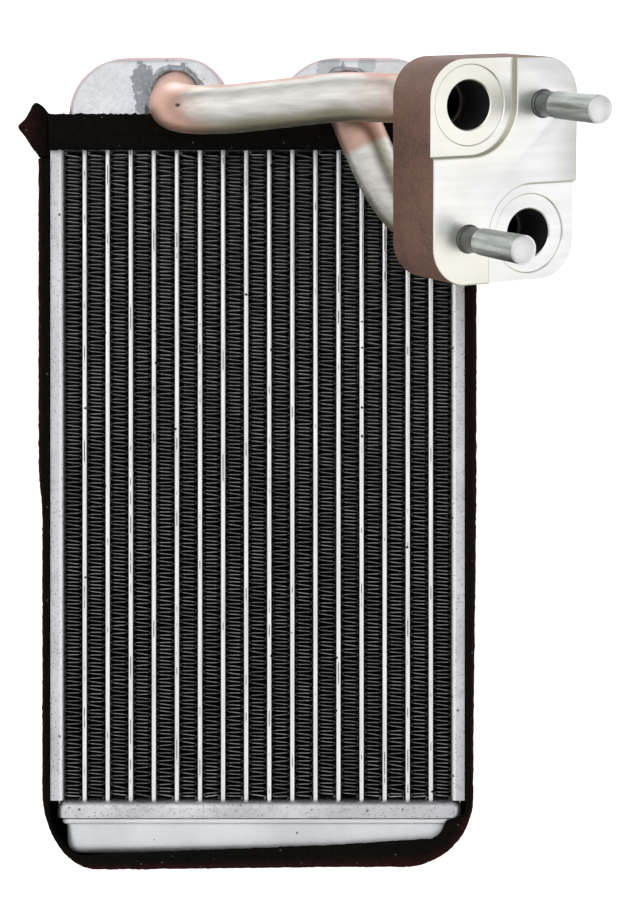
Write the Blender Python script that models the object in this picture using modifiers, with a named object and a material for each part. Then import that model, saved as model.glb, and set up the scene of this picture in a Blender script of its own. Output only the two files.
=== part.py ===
"""Heater core: a brazed aluminium core between two header plates, with two
tanks above it and one below, two bent pipes, a machined connection block with
two studs, and a foam tape round its sides.

Units are metres. In the core's own frame X runs across the tubes, Y runs along
them and Z points out of the face that carries the pipes. The whole part lies on
its back, with the middle of its underside at the world's origin.
"""
from math import cos, pi, radians, sin, sqrt, tan

import bmesh
import bpy
from mathutils import Matrix, Vector

MM = 0.001

# Clearance between pieces that touch or are brazed together
GAP = 0.3 * MM

# Flat tubes
TUBE_COUNT = 16
TUBE_PITCH = 7.4 * MM
TUBE_THICKNESS = 1.6 * MM
TUBE_DEPTH = 25.0 * MM
TUBE_WALL = 0.35 * MM
TUBE_REACH = 2.4 * MM
TUBE_NOSE_STEPS = 2

# Corrugated fins between the tubes
CORE_HEIGHT = 208.4 * MM
FIN_SETBACK = 0.6 * MM
FIN_THICKNESS = 0.2 * MM
FIN_LEG_PITCH = 5.6 * MM

# Side plates, a channel along each side of the core
SIDE_FLANGE = 4.1 * MM
SIDE_THICKNESS = 1.0 * MM
SIDE_DEPTH = 29.0 * MM

# Header plates, a shallow tray at each end of the tubes
HEADER_OVERHANG = 1.9 * MM
HEADER_WALL = 5.1 * MM
HEADER_THICKNESS = 1.2 * MM
HEADER_CORNER = 3.0 * MM
HEADER_FOLD = 1.2 * MM

# Tanks, stamped shells whose feet stand in the header plates
TANK_WALL = 1.2 * MM
TANK_CORNER = 2.0 * MM
BEAD_HEIGHT = 1.9 * MM
BEAD_STAND = 1.2 * MM

LOWER_TANK_HEIGHT = 17.1 * MM
LOWER_TANK_INSET = 1.9 * MM
LOWER_TANK_ROUND = 9.5 * MM
LOWER_TANK_END_ROUND = 3.8 * MM

UPPER_TANK_HEIGHT = 29.7 * MM
UPPER_TANK_SHOULDER = 18.2 * MM
UPPER_TANK_RIM = 2.2 * MM
UPPER_TANK_FOOT_GAP = 2.4 * MM
UPPER_TANK_LONG_SLOPE = 19.2 * MM
UPPER_TANK_SHORT_SLOPE = 16.0 * MM
UPPER_TANK_WIDTH = 52.4 * MM
INLET_TANK_INSET = 2.1 * MM
OUTLET_TANK_INSET = 5.0 * MM

# Pipes, from the tanks' front faces to the connection block. A joint is given from
# the left side of its tank and up from the header. The corners of a run are given
# on the pipe frame: from the core's middle, the upper header and the tanks' faces.
# The outlet's last corner is given from where it turns to its port, and the one
# between by its share of the way and its bow to the side.
PIPE_RADIUS = 7.5 * MM
PIPE_WALL = 1.2 * MM
PIPE_TILT = radians(18.0)
PIPE_INSET = 2.5 * MM
INLET_JOINT = (34.2 * MM, 17.4 * MM)
INLET_STUB = 27.8 * MM
INLET_RUN = ((-7.1 * MM, 9.1 * MM, 28.6 * MM), (26.7 * MM, 12.2 * MM, 33.3 * MM))
OUTLET_JOINT = (22.9 * MM, 17.4 * MM)
OUTLET_STUB = 18.9 * MM
OUTLET_START = (34.7 * MM, -1.2 * MM, 17.7 * MM)
OUTLET_APPROACH = (-16.2 * MM, -0.7 * MM, -4.0 * MM)
OUTLET_BOW_SHARE = 0.45
OUTLET_BOW = (-1.3 * MM, -0.8 * MM, 0.4 * MM)
ELBOW_RADIUS = 14.0 * MM
EASY_BEND_RADIUS = 60.0 * MM
PORT_RUN = 14.0 * MM

# Connection block, turned away from the core's face; its centre is on the pipe frame.
# Ports and studs are given from the two edges of the block that they are nearest to.
BLOCK_CENTRE = (75.1 * MM, -13.6 * MM, 59.8 * MM)
BLOCK_YAW = radians(28.5)
BLOCK_PITCH = radians(10.2)
BLOCK_ROLL = radians(5.9)
BLOCK_WIDTH = 49.9 * MM
BLOCK_HEIGHT = 66.4 * MM
BLOCK_THICKNESS = 24.2 * MM
BLOCK_CORNER = 11.5 * MM
BLOCK_EDGE = 0.6 * MM
POCKET_DEPTH = 1.9 * MM
POCKET_RADIUS = 14.6 * MM
POCKET_SLOPE = 0.6 * MM
INLET_PORT_EDGES = (13.45 * MM, 13.5 * MM)
OUTLET_PORT_EDGES = (15.45 * MM, 14.0 * MM)
PORT_BORE = 7.3 * MM
PORT_SEAT = 11.75 * MM
PORT_SEAT_DEPTH = 0.5 * MM
PORT_SOCKET = 6.0 * MM

# Studs, screwed into the block
STUD_EDGES = (12.15 * MM, 13.8 * MM)
STUD_LENGTH = 30.3 * MM
STUD_RADIUS = 4.0 * MM
STUD_SHANK = 3.6 * MM
STUD_SHANK_LENGTH = 7.0 * MM
STUD_COLLAR = 4.7 * MM
STUD_COLLAR_HEIGHT = 1.2 * MM
STUD_SINK = 0.8 * MM
STUD_POINT = 1.2 * MM
STUD_ROOT = 11.0 * MM

# Foam tape round the sides, and a strip along the front of the upper header. The
# tape's end is given from its outer side and from the upper header.
FOAM_THICKNESS = 3.7 * MM
FOAM_BACK = -15.2 * MM
FOAM_FRONT = 16.2 * MM
FOAM_CORNER = (16.7 * MM, 22.0 * MM)
FOAM_INNER_CORNER = (11.0 * MM, 14.0 * MM)
FOAM_CORNER_STEPS = 6
FOAM_LEFT_DROP = 2.9 * MM
FOAM_LIP_DEPTH = 6.0 * MM
FOAM_LIP_LEFT = 1.2 * MM
FOAM_LIP_RIGHT = 4.6 * MM
STRIP_THICKNESS = 4.0 * MM
STRIP_HEIGHT = 11.1 * MM
TAPE_END_TIP = (6.4 * MM, 7.3 * MM)
TAPE_END_PEAK = (1.0 * MM, 15.1 * MM)
TAPE_END_ROOT = 11.0 * MM

# How finely round forms are divided
CORNER_STEPS = 2
SHOULDER_STEPS = 4
BLOCK_CORNER_STEPS = 6
BORE_STEPS = 20
STUD_STEPS = 12
BEND_STEP = radians(14.0)
PIPE_BEVEL_RESOLUTION = 3
SMOOTH_ANGLE = radians(40.0)
FRAME_SIZE = 20.0 * MM

# Places that follow from the sizes above
HALF_CORE = CORE_HEIGHT / 2
FIN_DEPTH = TUBE_DEPTH - 2 * FIN_SETBACK
TANK_DEPTH = TUBE_DEPTH + 2 * (GAP + TANK_WALL)
HEADER_DEPTH = TANK_DEPTH + 2 * (GAP + HEADER_THICKNESS)
HALF_WIDTH = (TUBE_COUNT - 1) / 2 * TUBE_PITCH + TUBE_PITCH - TUBE_THICKNESS / 2
HEADER_HALF = HALF_WIDTH + HEADER_OVERHANG
FOOT_HALF = HEADER_HALF - HEADER_THICKNESS - GAP
FOOT_START = HEADER_THICKNESS + GAP
BEAD_START = HEADER_WALL + GAP
BEAD_END = BEAD_START + BEAD_HEIGHT
SIDE_OUTER = HALF_WIDTH + SIDE_FLANGE
FOAM_INNER = SIDE_OUTER + GAP
FOAM_OUTER = FOAM_INNER + FOAM_THICKNESS
FOAM_FLOOR = HALF_CORE + LOWER_TANK_HEIGHT + GAP
FOAM_LEFT_TOP = HALF_CORE - FOAM_LEFT_DROP
LOWER_TANK_HALF = FOOT_HALF - LOWER_TANK_INSET
INLET_TANK_LEFT = -FOOT_HALF + INLET_TANK_INSET
OUTLET_TANK_LEFT = UPPER_TANK_FOOT_GAP / 2 + OUTLET_TANK_INSET
INLET_PORT = (INLET_PORT_EDGES[0] - BLOCK_WIDTH / 2, BLOCK_HEIGHT / 2 - INLET_PORT_EDGES[1])
OUTLET_PORT = (BLOCK_WIDTH / 2 - OUTLET_PORT_EDGES[0], OUTLET_PORT_EDGES[1] - BLOCK_HEIGHT / 2)
STUD_PLACE = (BLOCK_WIDTH / 2 - STUD_EDGES[0], BLOCK_HEIGHT / 2 - STUD_EDGES[1])
INLET_BASE = Vector((INLET_TANK_LEFT + INLET_JOINT[0], INLET_JOINT[1], 0.0))
OUTLET_BASE = Vector((OUTLET_TANK_LEFT + OUTLET_JOINT[0], OUTLET_JOINT[1], 0.0))
PIPE_FRAME = Matrix.Translation((0.0, HALF_CORE, TANK_DEPTH / 2))


def clear_scene():
    """Remove every object of the scene."""
    for obj in list(bpy.data.objects):
        bpy.data.objects.remove(obj, do_unlink=True)


def new_collection(name):
    """Make a collection under the scene's own."""
    collection = bpy.data.collections.new(name)
    bpy.context.scene.collection.children.link(collection)
    return collection


def new_frame(collection, name, matrix, parent=None):
    """Make an empty that carries pieces."""
    frame = bpy.data.objects.new(name, None)
    frame.empty_display_size = FRAME_SIZE
    frame.parent = parent
    frame.matrix_local = matrix
    collection.objects.link(frame)
    return frame


def new_material(name, colour, roughness, metallic):
    """Make a Principled material."""
    material = bpy.data.materials.new(name)
    material.use_nodes = True
    shader = material.node_tree.nodes["Principled BSDF"]
    shader.inputs["Base Color"].default_value = (*colour, 1.0)
    shader.inputs["Roughness"].default_value = roughness
    shader.inputs["Metallic"].default_value = metallic
    material.diffuse_color = (*colour, 1.0)
    return material


def make_materials():
    """The finishes of the real part."""
    return {
        "tube": new_material("tube_aluminium", (0.78, 0.78, 0.78), 0.35, 1.0),
        "fin": new_material("fin_aluminium", (0.30, 0.30, 0.29), 0.45, 1.0),
        "sheet": new_material("sheet_aluminium", (0.62, 0.62, 0.63), 0.42, 1.0),
        "tank": new_material("tank_aluminium", (0.72, 0.74, 0.75), 0.38, 1.0),
        "pipe": new_material("pipe_aluminium", (0.70, 0.69, 0.65), 0.30, 1.0),
        "block": new_material("machined_aluminium", (0.86, 0.86, 0.84), 0.28, 1.0),
        "stud": new_material("zinc_plated_steel", (0.45, 0.48, 0.46), 0.35, 1.0),
        "foam": new_material("foam", (0.012, 0.011, 0.010), 0.95, 0.0),
    }


class Shop:
    """Where pieces are put: the collections, the materials and a frame."""

    def __init__(self, parts, cutters, materials, frame):
        self.parts = parts
        self.cutters = cutters
        self.materials = materials
        self.frame = frame

    def on_frame(self, frame):
        """The same shop, with its pieces on another frame."""
        return Shop(self.parts, self.cutters, self.materials, frame)

    def piece(self, name, mesh, finish, matrix=None):
        """Add a piece of the part."""
        obj = bpy.data.objects.new(name, mesh)
        self.parts.objects.link(obj)
        self.place(obj, matrix)
        mesh.materials.clear()
        mesh.materials.append(self.materials[finish])
        return obj

    def cutter(self, name, mesh, matrix=None):
        """Add a shape that only cuts other pieces."""
        obj = bpy.data.objects.new(name, mesh)
        self.cutters.objects.link(obj)
        self.place(obj, matrix)
        obj.hide_render = True
        obj.display_type = "WIRE"
        return obj

    def place(self, obj, matrix):
        """Put an object on the shop's frame."""
        obj.parent = self.frame
        obj.matrix_local = matrix or Matrix.Identity(4)


def finish_mesh(mesh, build):
    """Write a bmesh into a mesh, with its faces pointing outward."""
    bmesh.ops.recalc_face_normals(build, faces=build.faces)
    build.to_mesh(mesh)
    build.free()
    return mesh


def outline_mesh(name, points, depth, closed=True):
    """A flat outline drawn out along Z.

    A closed outline gives a solid plate, and an open line gives a ribbon.
    """
    curve = bpy.data.curves.new(name, "CURVE")
    curve.dimensions = "2D"
    curve.fill_mode = "BOTH" if closed else "NONE"
    curve.extrude = depth / 2
    spline = curve.splines.new("POLY")
    spline.points.add(len(points) - 1)
    for point, (x, y) in zip(spline.points, points):
        point.co = (x, y, 0.0, 1.0)
    spline.use_cyclic_u = closed
    return mesh_of_curve(name, curve)


def mesh_of_curve(name, curve):
    """Turn a curve into a welded mesh, and remove the curve."""
    holder = bpy.data.objects.new(name + "_curve", curve)
    bpy.context.scene.collection.objects.link(holder)
    bpy.context.view_layer.update()
    evaluated = holder.evaluated_get(bpy.context.evaluated_depsgraph_get())
    mesh = bpy.data.meshes.new_from_object(evaluated)
    mesh.name = name
    bpy.data.objects.remove(holder, do_unlink=True)
    bpy.data.curves.remove(curve)
    build = bmesh.new()
    build.from_mesh(mesh)
    bmesh.ops.remove_doubles(build, verts=build.verts, dist=0.001 * MM)
    return finish_mesh(mesh, build)


def loft_mesh(name, rings, first=False, last=True):
    """Join rings of equally many points, and close the ends that are asked for."""
    build = bmesh.new()
    rows = [[build.verts.new(point) for point in ring] for ring in rings]
    for low, high in zip(rows, rows[1:]):
        for k in range(len(low)):
            after = (k + 1) % len(low)
            build.faces.new((low[k], low[after], high[after], high[k]))
    if first:
        build.faces.new(reversed(rows[0]))
    if last:
        build.faces.new(rows[-1])
    return finish_mesh(bpy.data.meshes.new(name), build)


def turned(obj, steps):
    """Turn a profile in the XZ plane round Z."""
    screw = obj.modifiers.new("turned", "SCREW")
    screw.axis = "Z"
    screw.steps = steps
    screw.render_steps = steps
    screw.use_merge_vertices = True
    screw.merge_threshold = 0.01 * MM
    return obj


def profile_mesh(name, points):
    """A line of (radius, height) points, from the top down the outer side."""
    mesh = bpy.data.meshes.new(name)
    edges = [(k, k + 1) for k in range(len(points) - 1)]
    mesh.from_pydata([(radius, 0.0, height) for radius, height in points], edges, [])
    return mesh


def walled(obj, thickness, offset=-1.0):
    """Give an open surface a wall, inward from it unless offset says otherwise."""
    solidify = obj.modifiers.new("wall", "SOLIDIFY")
    solidify.thickness = thickness
    solidify.offset = offset
    solidify.use_even_offset = True
    return obj


def cut(obj, cutter):
    """Cut one object with another."""
    boolean = obj.modifiers.new("cut_" + cutter.name, "BOOLEAN")
    boolean.operation = "DIFFERENCE"
    boolean.object = cutter
    return obj


def smooth(obj):
    """Shade a round piece smooth, with its real edges kept."""
    obj.data.shade_smooth()
    obj.data.set_sharp_from_angle(angle=SMOOTH_ANGLE)
    return obj


def rounded_ring(left, right, half_depth, corner):
    """Points (x, z) of a rectangle with round corners."""
    points = []
    for quarter, (side, face) in enumerate(((1, 1), (-1, 1), (-1, -1), (1, -1))):
        middle = (right - corner) if side > 0 else (left + corner)
        for step in range(CORNER_STEPS + 1):
            turn = (quarter + step / CORNER_STEPS) * pi / 2
            x = middle + corner * cos(turn)
            z = face * (half_depth - corner) + corner * sin(turn)
            points.append((x, z))
    return points


def header_ring(side, rise, left, right, half_depth, corner):
    """A rounded ring at a height above the core's end; side is 1 up or -1 down."""
    height = side * (HALF_CORE + rise)
    return [(x, height, z) for x, z in rounded_ring(left, right, half_depth, corner)]


def tube_outline(clearance=0.0):
    """Outline of a flat tube with round noses, X across it and Y along its depth."""
    radius = TUBE_THICKNESS / 2 + clearance
    straight = TUBE_DEPTH / 2 - TUBE_THICKNESS / 2
    points = []
    for nose in (1, -1):
        for step in range(TUBE_NOSE_STEPS + 1):
            turn = pi * step / TUBE_NOSE_STEPS
            x = nose * radius * cos(turn)
            y = nose * (straight + radius * sin(turn))
            points.append((x, y))
    return points


def tube_places():
    """Where each tube stands across the core."""
    first = -(TUBE_COUNT - 1) / 2 * TUBE_PITCH
    return [first + index * TUBE_PITCH for index in range(TUBE_COUNT)]


def add_tubes(shop):
    """The flat tubes, open at both ends, which reach into the tanks."""
    length = CORE_HEIGHT + 2 * TUBE_REACH
    mesh = ribbon_of_outline("tube", tube_outline(), length)
    upright = Matrix.Rotation(pi / 2, 4, "X")
    for index, x in enumerate(tube_places()):
        matrix = Matrix.Translation((x, 0.0, 0.0)) @ upright
        tube = shop.piece(f"tube_{index + 1:02d}", mesh, "tube", matrix)
        smooth(walled(tube, TUBE_WALL))


def ribbon_of_outline(name, points, length):
    """A closed outline drawn out along Z into an open-ended wall."""
    ends = (-length / 2, length / 2)
    rings = [[(x, y, end) for x, y in points] for end in ends]
    return loft_mesh(name, rings, first=False, last=False)


def add_fins(shop):
    """The corrugated strips: one between each two tubes and one at each side."""
    height = TUBE_PITCH - TUBE_THICKNESS - 2 * GAP
    length = CORE_HEIGHT - 2 * GAP - FIN_THICKNESS
    legs = max(2, round(length / FIN_LEG_PITCH))
    # The fold's outer corner stands further out than the sheet's middle.
    slant = sqrt(1 + (height * legs / length) ** 2)
    swing = (height - FIN_THICKNESS * slant) / 2
    points = []
    for fold in range(legs + 1):
        across = swing if fold % 2 else -swing
        points.append((across, length * (fold / legs - 0.5)))
    mesh = outline_mesh("fin", points, FIN_DEPTH, closed=False)
    first = -TUBE_COUNT / 2 * TUBE_PITCH
    for index in range(TUBE_COUNT + 1):
        matrix = Matrix.Translation((first + index * TUBE_PITCH, 0.0, 0.0))
        fin = shop.piece(f"fin_{index + 1:02d}", mesh, "fin", matrix)
        walled(fin, FIN_THICKNESS, offset=0.0)


def add_side_plates(shop):
    """The channels beside the outer fins, with their flanges turned outward."""
    half = SIDE_DEPTH / 2
    points = [(SIDE_FLANGE, -half), (0.0, -half), (0.0, half), (SIDE_FLANGE, half)]
    mesh = outline_mesh("side_plate", points, CORE_HEIGHT - 2 * GAP, closed=False)
    upright = Matrix.Rotation(pi / 2, 4, "X")
    for name, side in (("side_plate_right", 1), ("side_plate_left", -1)):
        turn = Matrix.Rotation(0.0 if side > 0 else pi, 4, "Y")
        matrix = Matrix.Translation((side * HALF_WIDTH, 0.0, 0.0)) @ turn @ upright
        plate = shop.piece(name, mesh, "sheet", matrix)
        walled(plate, SIDE_THICKNESS, offset=channel_side(mesh))


def channel_side(mesh):
    """The wall goes to the side where the channel is open: 1 along its normals."""
    web = min(mesh.polygons, key=lambda face: abs(face.center.y))
    return 1.0 if web.normal.x > 0 else -1.0


def add_header_plates(shop):
    """The trays that the tubes pass through and the tanks stand in."""
    for name, side in (("upper_header_plate", 1), ("lower_header_plate", -1)):
        half = HEADER_DEPTH / 2
        inner = HEADER_HALF - HEADER_FOLD
        rings = [
            header_ring(side, HEADER_WALL, -HEADER_HALF, HEADER_HALF, half, HEADER_CORNER),
            header_ring(side, HEADER_FOLD, -HEADER_HALF, HEADER_HALF, half, HEADER_CORNER),
            header_ring(side, 0.0, -inner, inner, half - HEADER_FOLD, HEADER_CORNER),
        ]
        plate = shop.piece(name, loft_mesh(name, rings), "sheet")
        walled(plate, HEADER_THICKNESS)
        cut(plate, slot_cutter(shop, name + "_slots", side))


def slot_cutter(shop, name, side):
    """One prism for each tube, a clearance larger than the tube all round."""
    build = bmesh.new()
    outline = tube_outline(GAP)
    middle = side * HALF_CORE
    reach = 2 * HEADER_THICKNESS
    for place in tube_places():
        low = [build.verts.new((place + x, middle - reach, z)) for x, z in outline]
        high = [build.verts.new((place + x, middle + reach, z)) for x, z in outline]
        build.faces.new(low)
        build.faces.new(reversed(high))
        for k in range(len(outline)):
            after = (k + 1) % len(outline)
            build.faces.new((low[k], high[k], high[after], low[after]))
    return shop.cutter(name, finish_mesh(bpy.data.meshes.new(name), build))


def foot_rings(side, left, right, body_left, body_right):
    """A tank's foot inside the header tray, then the bead that rests on its rim."""
    half = TANK_DEPTH / 2
    bead = half + BEAD_STAND
    soft = BEAD_HEIGHT / 6
    bead_left = max(left, body_left - BEAD_STAND)
    bead_right = min(right, body_right + BEAD_STAND)
    return [
        header_ring(side, FOOT_START, left, right, half, TANK_CORNER),
        header_ring(side, BEAD_START, left, right, half, TANK_CORNER),
        header_ring(side, BEAD_START + soft, bead_left, bead_right, bead, TANK_CORNER),
        header_ring(side, BEAD_END - soft, bead_left, bead_right, bead, TANK_CORNER),
        header_ring(side, BEAD_END, body_left, body_right, half, TANK_CORNER),
    ]


def inner_foot_rings(side, left, right, body_left, body_right):
    """The inside of a tank's foot, which runs straight past the bead."""
    half = TANK_DEPTH / 2 - TANK_WALL
    corner = TANK_CORNER - TANK_WALL
    step = BEAD_START - TANK_WALL
    left, right = left + TANK_WALL, right - TANK_WALL
    body_left, body_right = body_left + TANK_WALL, body_right - TANK_WALL
    return [
        header_ring(side, FOOT_START, left, right, half, corner),
        header_ring(side, step, left, right, half, corner),
        header_ring(side, step + BEAD_HEIGHT / 6, body_left, body_right, half, corner),
    ]


def shell_mesh(name, outer, inner):
    """A wall between two lofts, both closed at the top and joined at the foot."""
    return loft_mesh(name, [*reversed(inner), *outer], first=True)


def lower_tank_rings(inset):
    """The lower tank's body, its section a round arch; inset goes inside its wall."""
    rise = LOWER_TANK_ROUND - inset
    end_round = LOWER_TANK_END_ROUND - inset
    start = LOWER_TANK_HEIGHT - LOWER_TANK_ROUND
    rings = []
    for step in range(SHOULDER_STEPS + 1):
        turn = pi / 2 * step / SHOULDER_STEPS
        drop = rise * sin(turn)
        late = max(0.0, drop - rise + end_round)
        half = LOWER_TANK_HALF - inset - end_round + sqrt(max(0.0, end_round**2 - late**2))
        half_depth = TANK_DEPTH / 2 - inset - rise * (1 - cos(turn))
        corner = min(TANK_CORNER - inset, half_depth / 2)
        rings.append(header_ring(-1, start + drop, -half, half, half_depth, corner))
    return rings


def add_lower_tank(shop):
    """The lower tank, one shell that joins all the tubes."""
    ends = (-FOOT_HALF, FOOT_HALF, -LOWER_TANK_HALF, LOWER_TANK_HALF)
    outer = foot_rings(-1, *ends) + lower_tank_rings(0.0)
    inner = inner_foot_rings(-1, *ends) + lower_tank_rings(TANK_WALL)
    smooth(shop.piece("lower_tank", shell_mesh("lower_tank", outer, inner), "tank"))


def upper_tank_rings(left, inset):
    """A dome with one long and one short shoulder; inset goes inside its wall."""
    right = left + UPPER_TANK_WIDTH
    top_left = left + UPPER_TANK_LONG_SLOPE
    top_right = right - UPPER_TANK_SHORT_SLOPE
    straight = UPPER_TANK_HEIGHT - UPPER_TANK_SHOULDER
    rise = UPPER_TANK_SHOULDER - inset
    rim = UPPER_TANK_RIM - inset
    rings = []
    for step in range(SHOULDER_STEPS + 1):
        turn = pi / 2 * step / SHOULDER_STEPS
        height = rise * sin(turn)
        late = max(0.0, height - rise + rim)
        west = top_left - (UPPER_TANK_LONG_SLOPE - inset) * cos(turn)
        east = top_right + (UPPER_TANK_SHORT_SLOPE - inset) * cos(turn)
        half_depth = TANK_DEPTH / 2 - inset - rim + sqrt(max(0.0, rim**2 - late**2))
        rings.append(header_ring(1, straight + height, west, east, half_depth, rim))
    return rings


def add_upper_tank(shop, name, left, foot_left, foot_right, stub):
    """A domed tank, cut open for its pipe."""
    ends = (foot_left, foot_right, left, left + UPPER_TANK_WIDTH)
    outer = foot_rings(1, *ends) + upper_tank_rings(left, 0.0)
    inner = inner_foot_rings(1, *ends) + upper_tank_rings(left, TANK_WALL)
    return cut(smooth(shop.piece(name, shell_mesh(name, outer, inner), "tank")), stub)


def stub_direction():
    """Both pipes leave their tanks forward and a little downward."""
    return Vector((0.0, -sin(PIPE_TILT), cos(PIPE_TILT)))


def stub_cutter(shop, name, base):
    """A cylinder round a pipe's stub, for the tank's hole and the foam's notch."""
    build = bmesh.new()
    length = 4 * PIPE_RADIUS
    bmesh.ops.create_cone(
        build,
        cap_ends=True,
        segments=BORE_STEPS,
        radius1=PIPE_RADIUS + GAP,
        radius2=PIPE_RADIUS + GAP,
        depth=length,
    )
    mesh = finish_mesh(bpy.data.meshes.new(name), build)
    along = stub_direction().to_track_quat("Z", "Y").to_matrix().to_4x4()
    middle = base + stub_direction() * PIPE_RADIUS
    return shop.cutter(name, mesh, Matrix.Translation(middle) @ along)


def bent_route(corners, radii):
    """The pipe's centre line: straight runs between corners, an arc at each corner."""
    points = [corners[0]]
    for before, corner, after, radius in zip(corners, corners[1:], corners[2:], radii):
        come = (corner - before).normalized()
        go = (after - corner).normalized()
        angle = come.angle(go)
        reach = radius * tan(angle / 2)
        axis = come.cross(go).normalized()
        inward = axis.cross(come)
        centre = corner - come * reach + inward * radius
        steps = max(1, round(angle / BEND_STEP))
        for step in range(steps + 1):
            turn = Matrix.Rotation(angle * step / steps, 3, axis)
            points.append(centre + turn @ (-inward * radius))
    points.append(corners[-1])
    return points


def port_line(port):
    """Where a pipe turns to its port behind the block, and where its socket ends."""
    placement = block_placement()
    normal = placement.to_3x3() @ Vector((0.0, 0.0, 1.0))
    back = placement @ Vector((*port, -BLOCK_THICKNESS))
    return back - normal * PORT_RUN, back + normal * (PORT_SOCKET - GAP)


def outlet_run():
    """The outlet's corners: below the inlet pipe, in its bow and behind its port."""
    start = Vector(OUTLET_START)
    last = port_line(OUTLET_PORT)[0] + Vector(OUTLET_APPROACH)
    return start, start.lerp(last, OUTLET_BOW_SHARE) + Vector(OUTLET_BOW), last


def add_pipe(shop, name, base, stub, run, port):
    """A pipe from a tank's face to the socket in the back of the block.

    The last corner of the run before the block is an elbow where the run has three.
    """
    corners = [base - stub_direction() * PIPE_INSET, base + stub_direction() * stub]
    corners += [Vector(point) for point in run]
    corners += port_line(port)
    easy = [EASY_BEND_RADIUS, EASY_BEND_RADIUS, ELBOW_RADIUS][: len(run)]
    route = bent_route(corners, [ELBOW_RADIUS, *easy, ELBOW_RADIUS])
    curve = bpy.data.curves.new(name, "CURVE")
    curve.dimensions = "3D"
    curve.fill_mode = "FULL"
    curve.bevel_depth = PIPE_RADIUS
    curve.bevel_resolution = PIPE_BEVEL_RESOLUTION
    spline = curve.splines.new("POLY")
    spline.points.add(len(route) - 1)
    for point, place in zip(spline.points, route):
        point.co = (*place, 1.0)
    pipe = shop.piece(name, mesh_of_curve(name, curve), "pipe")
    return smooth(walled(pipe, PIPE_WALL))


def block_placement():
    """The block's frame on the pipe frame: at its face's middle, facing along Z."""
    turn = (
        Matrix.Rotation(BLOCK_YAW, 4, "Y")
        @ Matrix.Rotation(BLOCK_PITCH, 4, "X")
        @ Matrix.Rotation(BLOCK_ROLL, 4, "Z")
    )
    return Matrix.Translation(BLOCK_CENTRE) @ turn


def block_outline():
    """The block's outline, a rectangle with large round corners."""
    points = []
    for quarter, (side, top) in enumerate(((1, 1), (-1, 1), (-1, -1), (1, -1))):
        for step in range(BLOCK_CORNER_STEPS + 1):
            turn = (quarter + step / BLOCK_CORNER_STEPS) * pi / 2
            x = side * (BLOCK_WIDTH / 2 - BLOCK_CORNER) + BLOCK_CORNER * cos(turn)
            y = top * (BLOCK_HEIGHT / 2 - BLOCK_CORNER) + BLOCK_CORNER * sin(turn)
            points.append((x, y))
    return points


def pocket_cutter(shop, name, port, way):
    """The stepped-down corner round a port; way is 1 up and left, -1 down and right.

    Its wall runs straight down from the block's edge, turns round the port and
    runs straight to the block's other edge, and it leans out a little.
    """
    far = BLOCK_HEIGHT
    rings = []
    for level in (-1, 1):
        radius = POCKET_RADIUS + (level + 1) * POCKET_SLOPE
        corner = [(radius, far), (-far, far), (-far, -radius)]
        for step in range(BLOCK_CORNER_STEPS + 1):
            turn = pi / 2 * (step / BLOCK_CORNER_STEPS - 1)
            corner.append((radius * cos(turn), radius * sin(turn)))
        height = level * POCKET_DEPTH
        rings.append([(port[0] + way * x, port[1] + way * y, height) for x, y in corner])
    return shop.cutter(name, loft_mesh(name, rings, first=True, last=True))


def port_cutter(shop, name, port):
    """The seat, the bore and the pipe's socket of one port, as one turned shape."""
    floor = -POCKET_DEPTH - PORT_SEAT_DEPTH
    shoulder = -BLOCK_THICKNESS + PORT_SOCKET
    socket = PIPE_RADIUS + GAP
    profile = [
        (0.0, POCKET_DEPTH),
        (PORT_SEAT, POCKET_DEPTH),
        (PORT_SEAT, floor),
        (PORT_BORE, floor),
        (PORT_BORE, shoulder),
        (socket, shoulder),
        (socket, -BLOCK_THICKNESS - POCKET_DEPTH),
        (0.0, -BLOCK_THICKNESS - POCKET_DEPTH),
    ]
    matrix = Matrix.Translation((*port, 0.0))
    return turned(shop.cutter(name, profile_mesh(name, profile), matrix), BORE_STEPS)


def stud_cutter(shop, name, place):
    """The blind hole that holds a stud's root, with a wider mouth for its collar."""
    radius = STUD_RADIUS + GAP
    mouth = STUD_COLLAR + GAP
    profile = [
        (0.0, GAP),
        (mouth, GAP),
        (mouth, -STUD_SINK),
        (radius, -STUD_SINK),
        (radius, -STUD_ROOT - GAP),
        (0.0, -STUD_ROOT - GAP),
    ]
    matrix = Matrix.Translation((*place, 0.0))
    return turned(shop.cutter(name, profile_mesh(name, profile), matrix), STUD_STEPS)


def stud_places():
    """The studs stand at opposite corners, beside the ports."""
    across, up = STUD_PLACE
    return {"upper_stud": (across, up), "lower_stud": (-across, -up)}


def add_block(shop):
    """The connection block with its pockets, ports and stud holes."""
    mesh = outline_mesh("connection_block", block_outline(), BLOCK_THICKNESS)
    mesh.transform(Matrix.Translation((0.0, 0.0, -BLOCK_THICKNESS / 2)))
    block = shop.piece("connection_block", mesh, "block")
    edge = block.modifiers.new("edge", "BEVEL")
    edge.width = BLOCK_EDGE
    edge.segments = 1
    edge.limit_method = "ANGLE"
    edge.angle_limit = SMOOTH_ANGLE
    cut(block, pocket_cutter(shop, "inlet_pocket", INLET_PORT, 1))
    cut(block, pocket_cutter(shop, "outlet_pocket", OUTLET_PORT, -1))
    cut(block, port_cutter(shop, "inlet_bore", INLET_PORT))
    cut(block, port_cutter(shop, "outlet_bore", OUTLET_PORT))
    for name, place in stud_places().items():
        cut(block, stud_cutter(shop, name + "_hole", place))
    return smooth(block)


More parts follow.
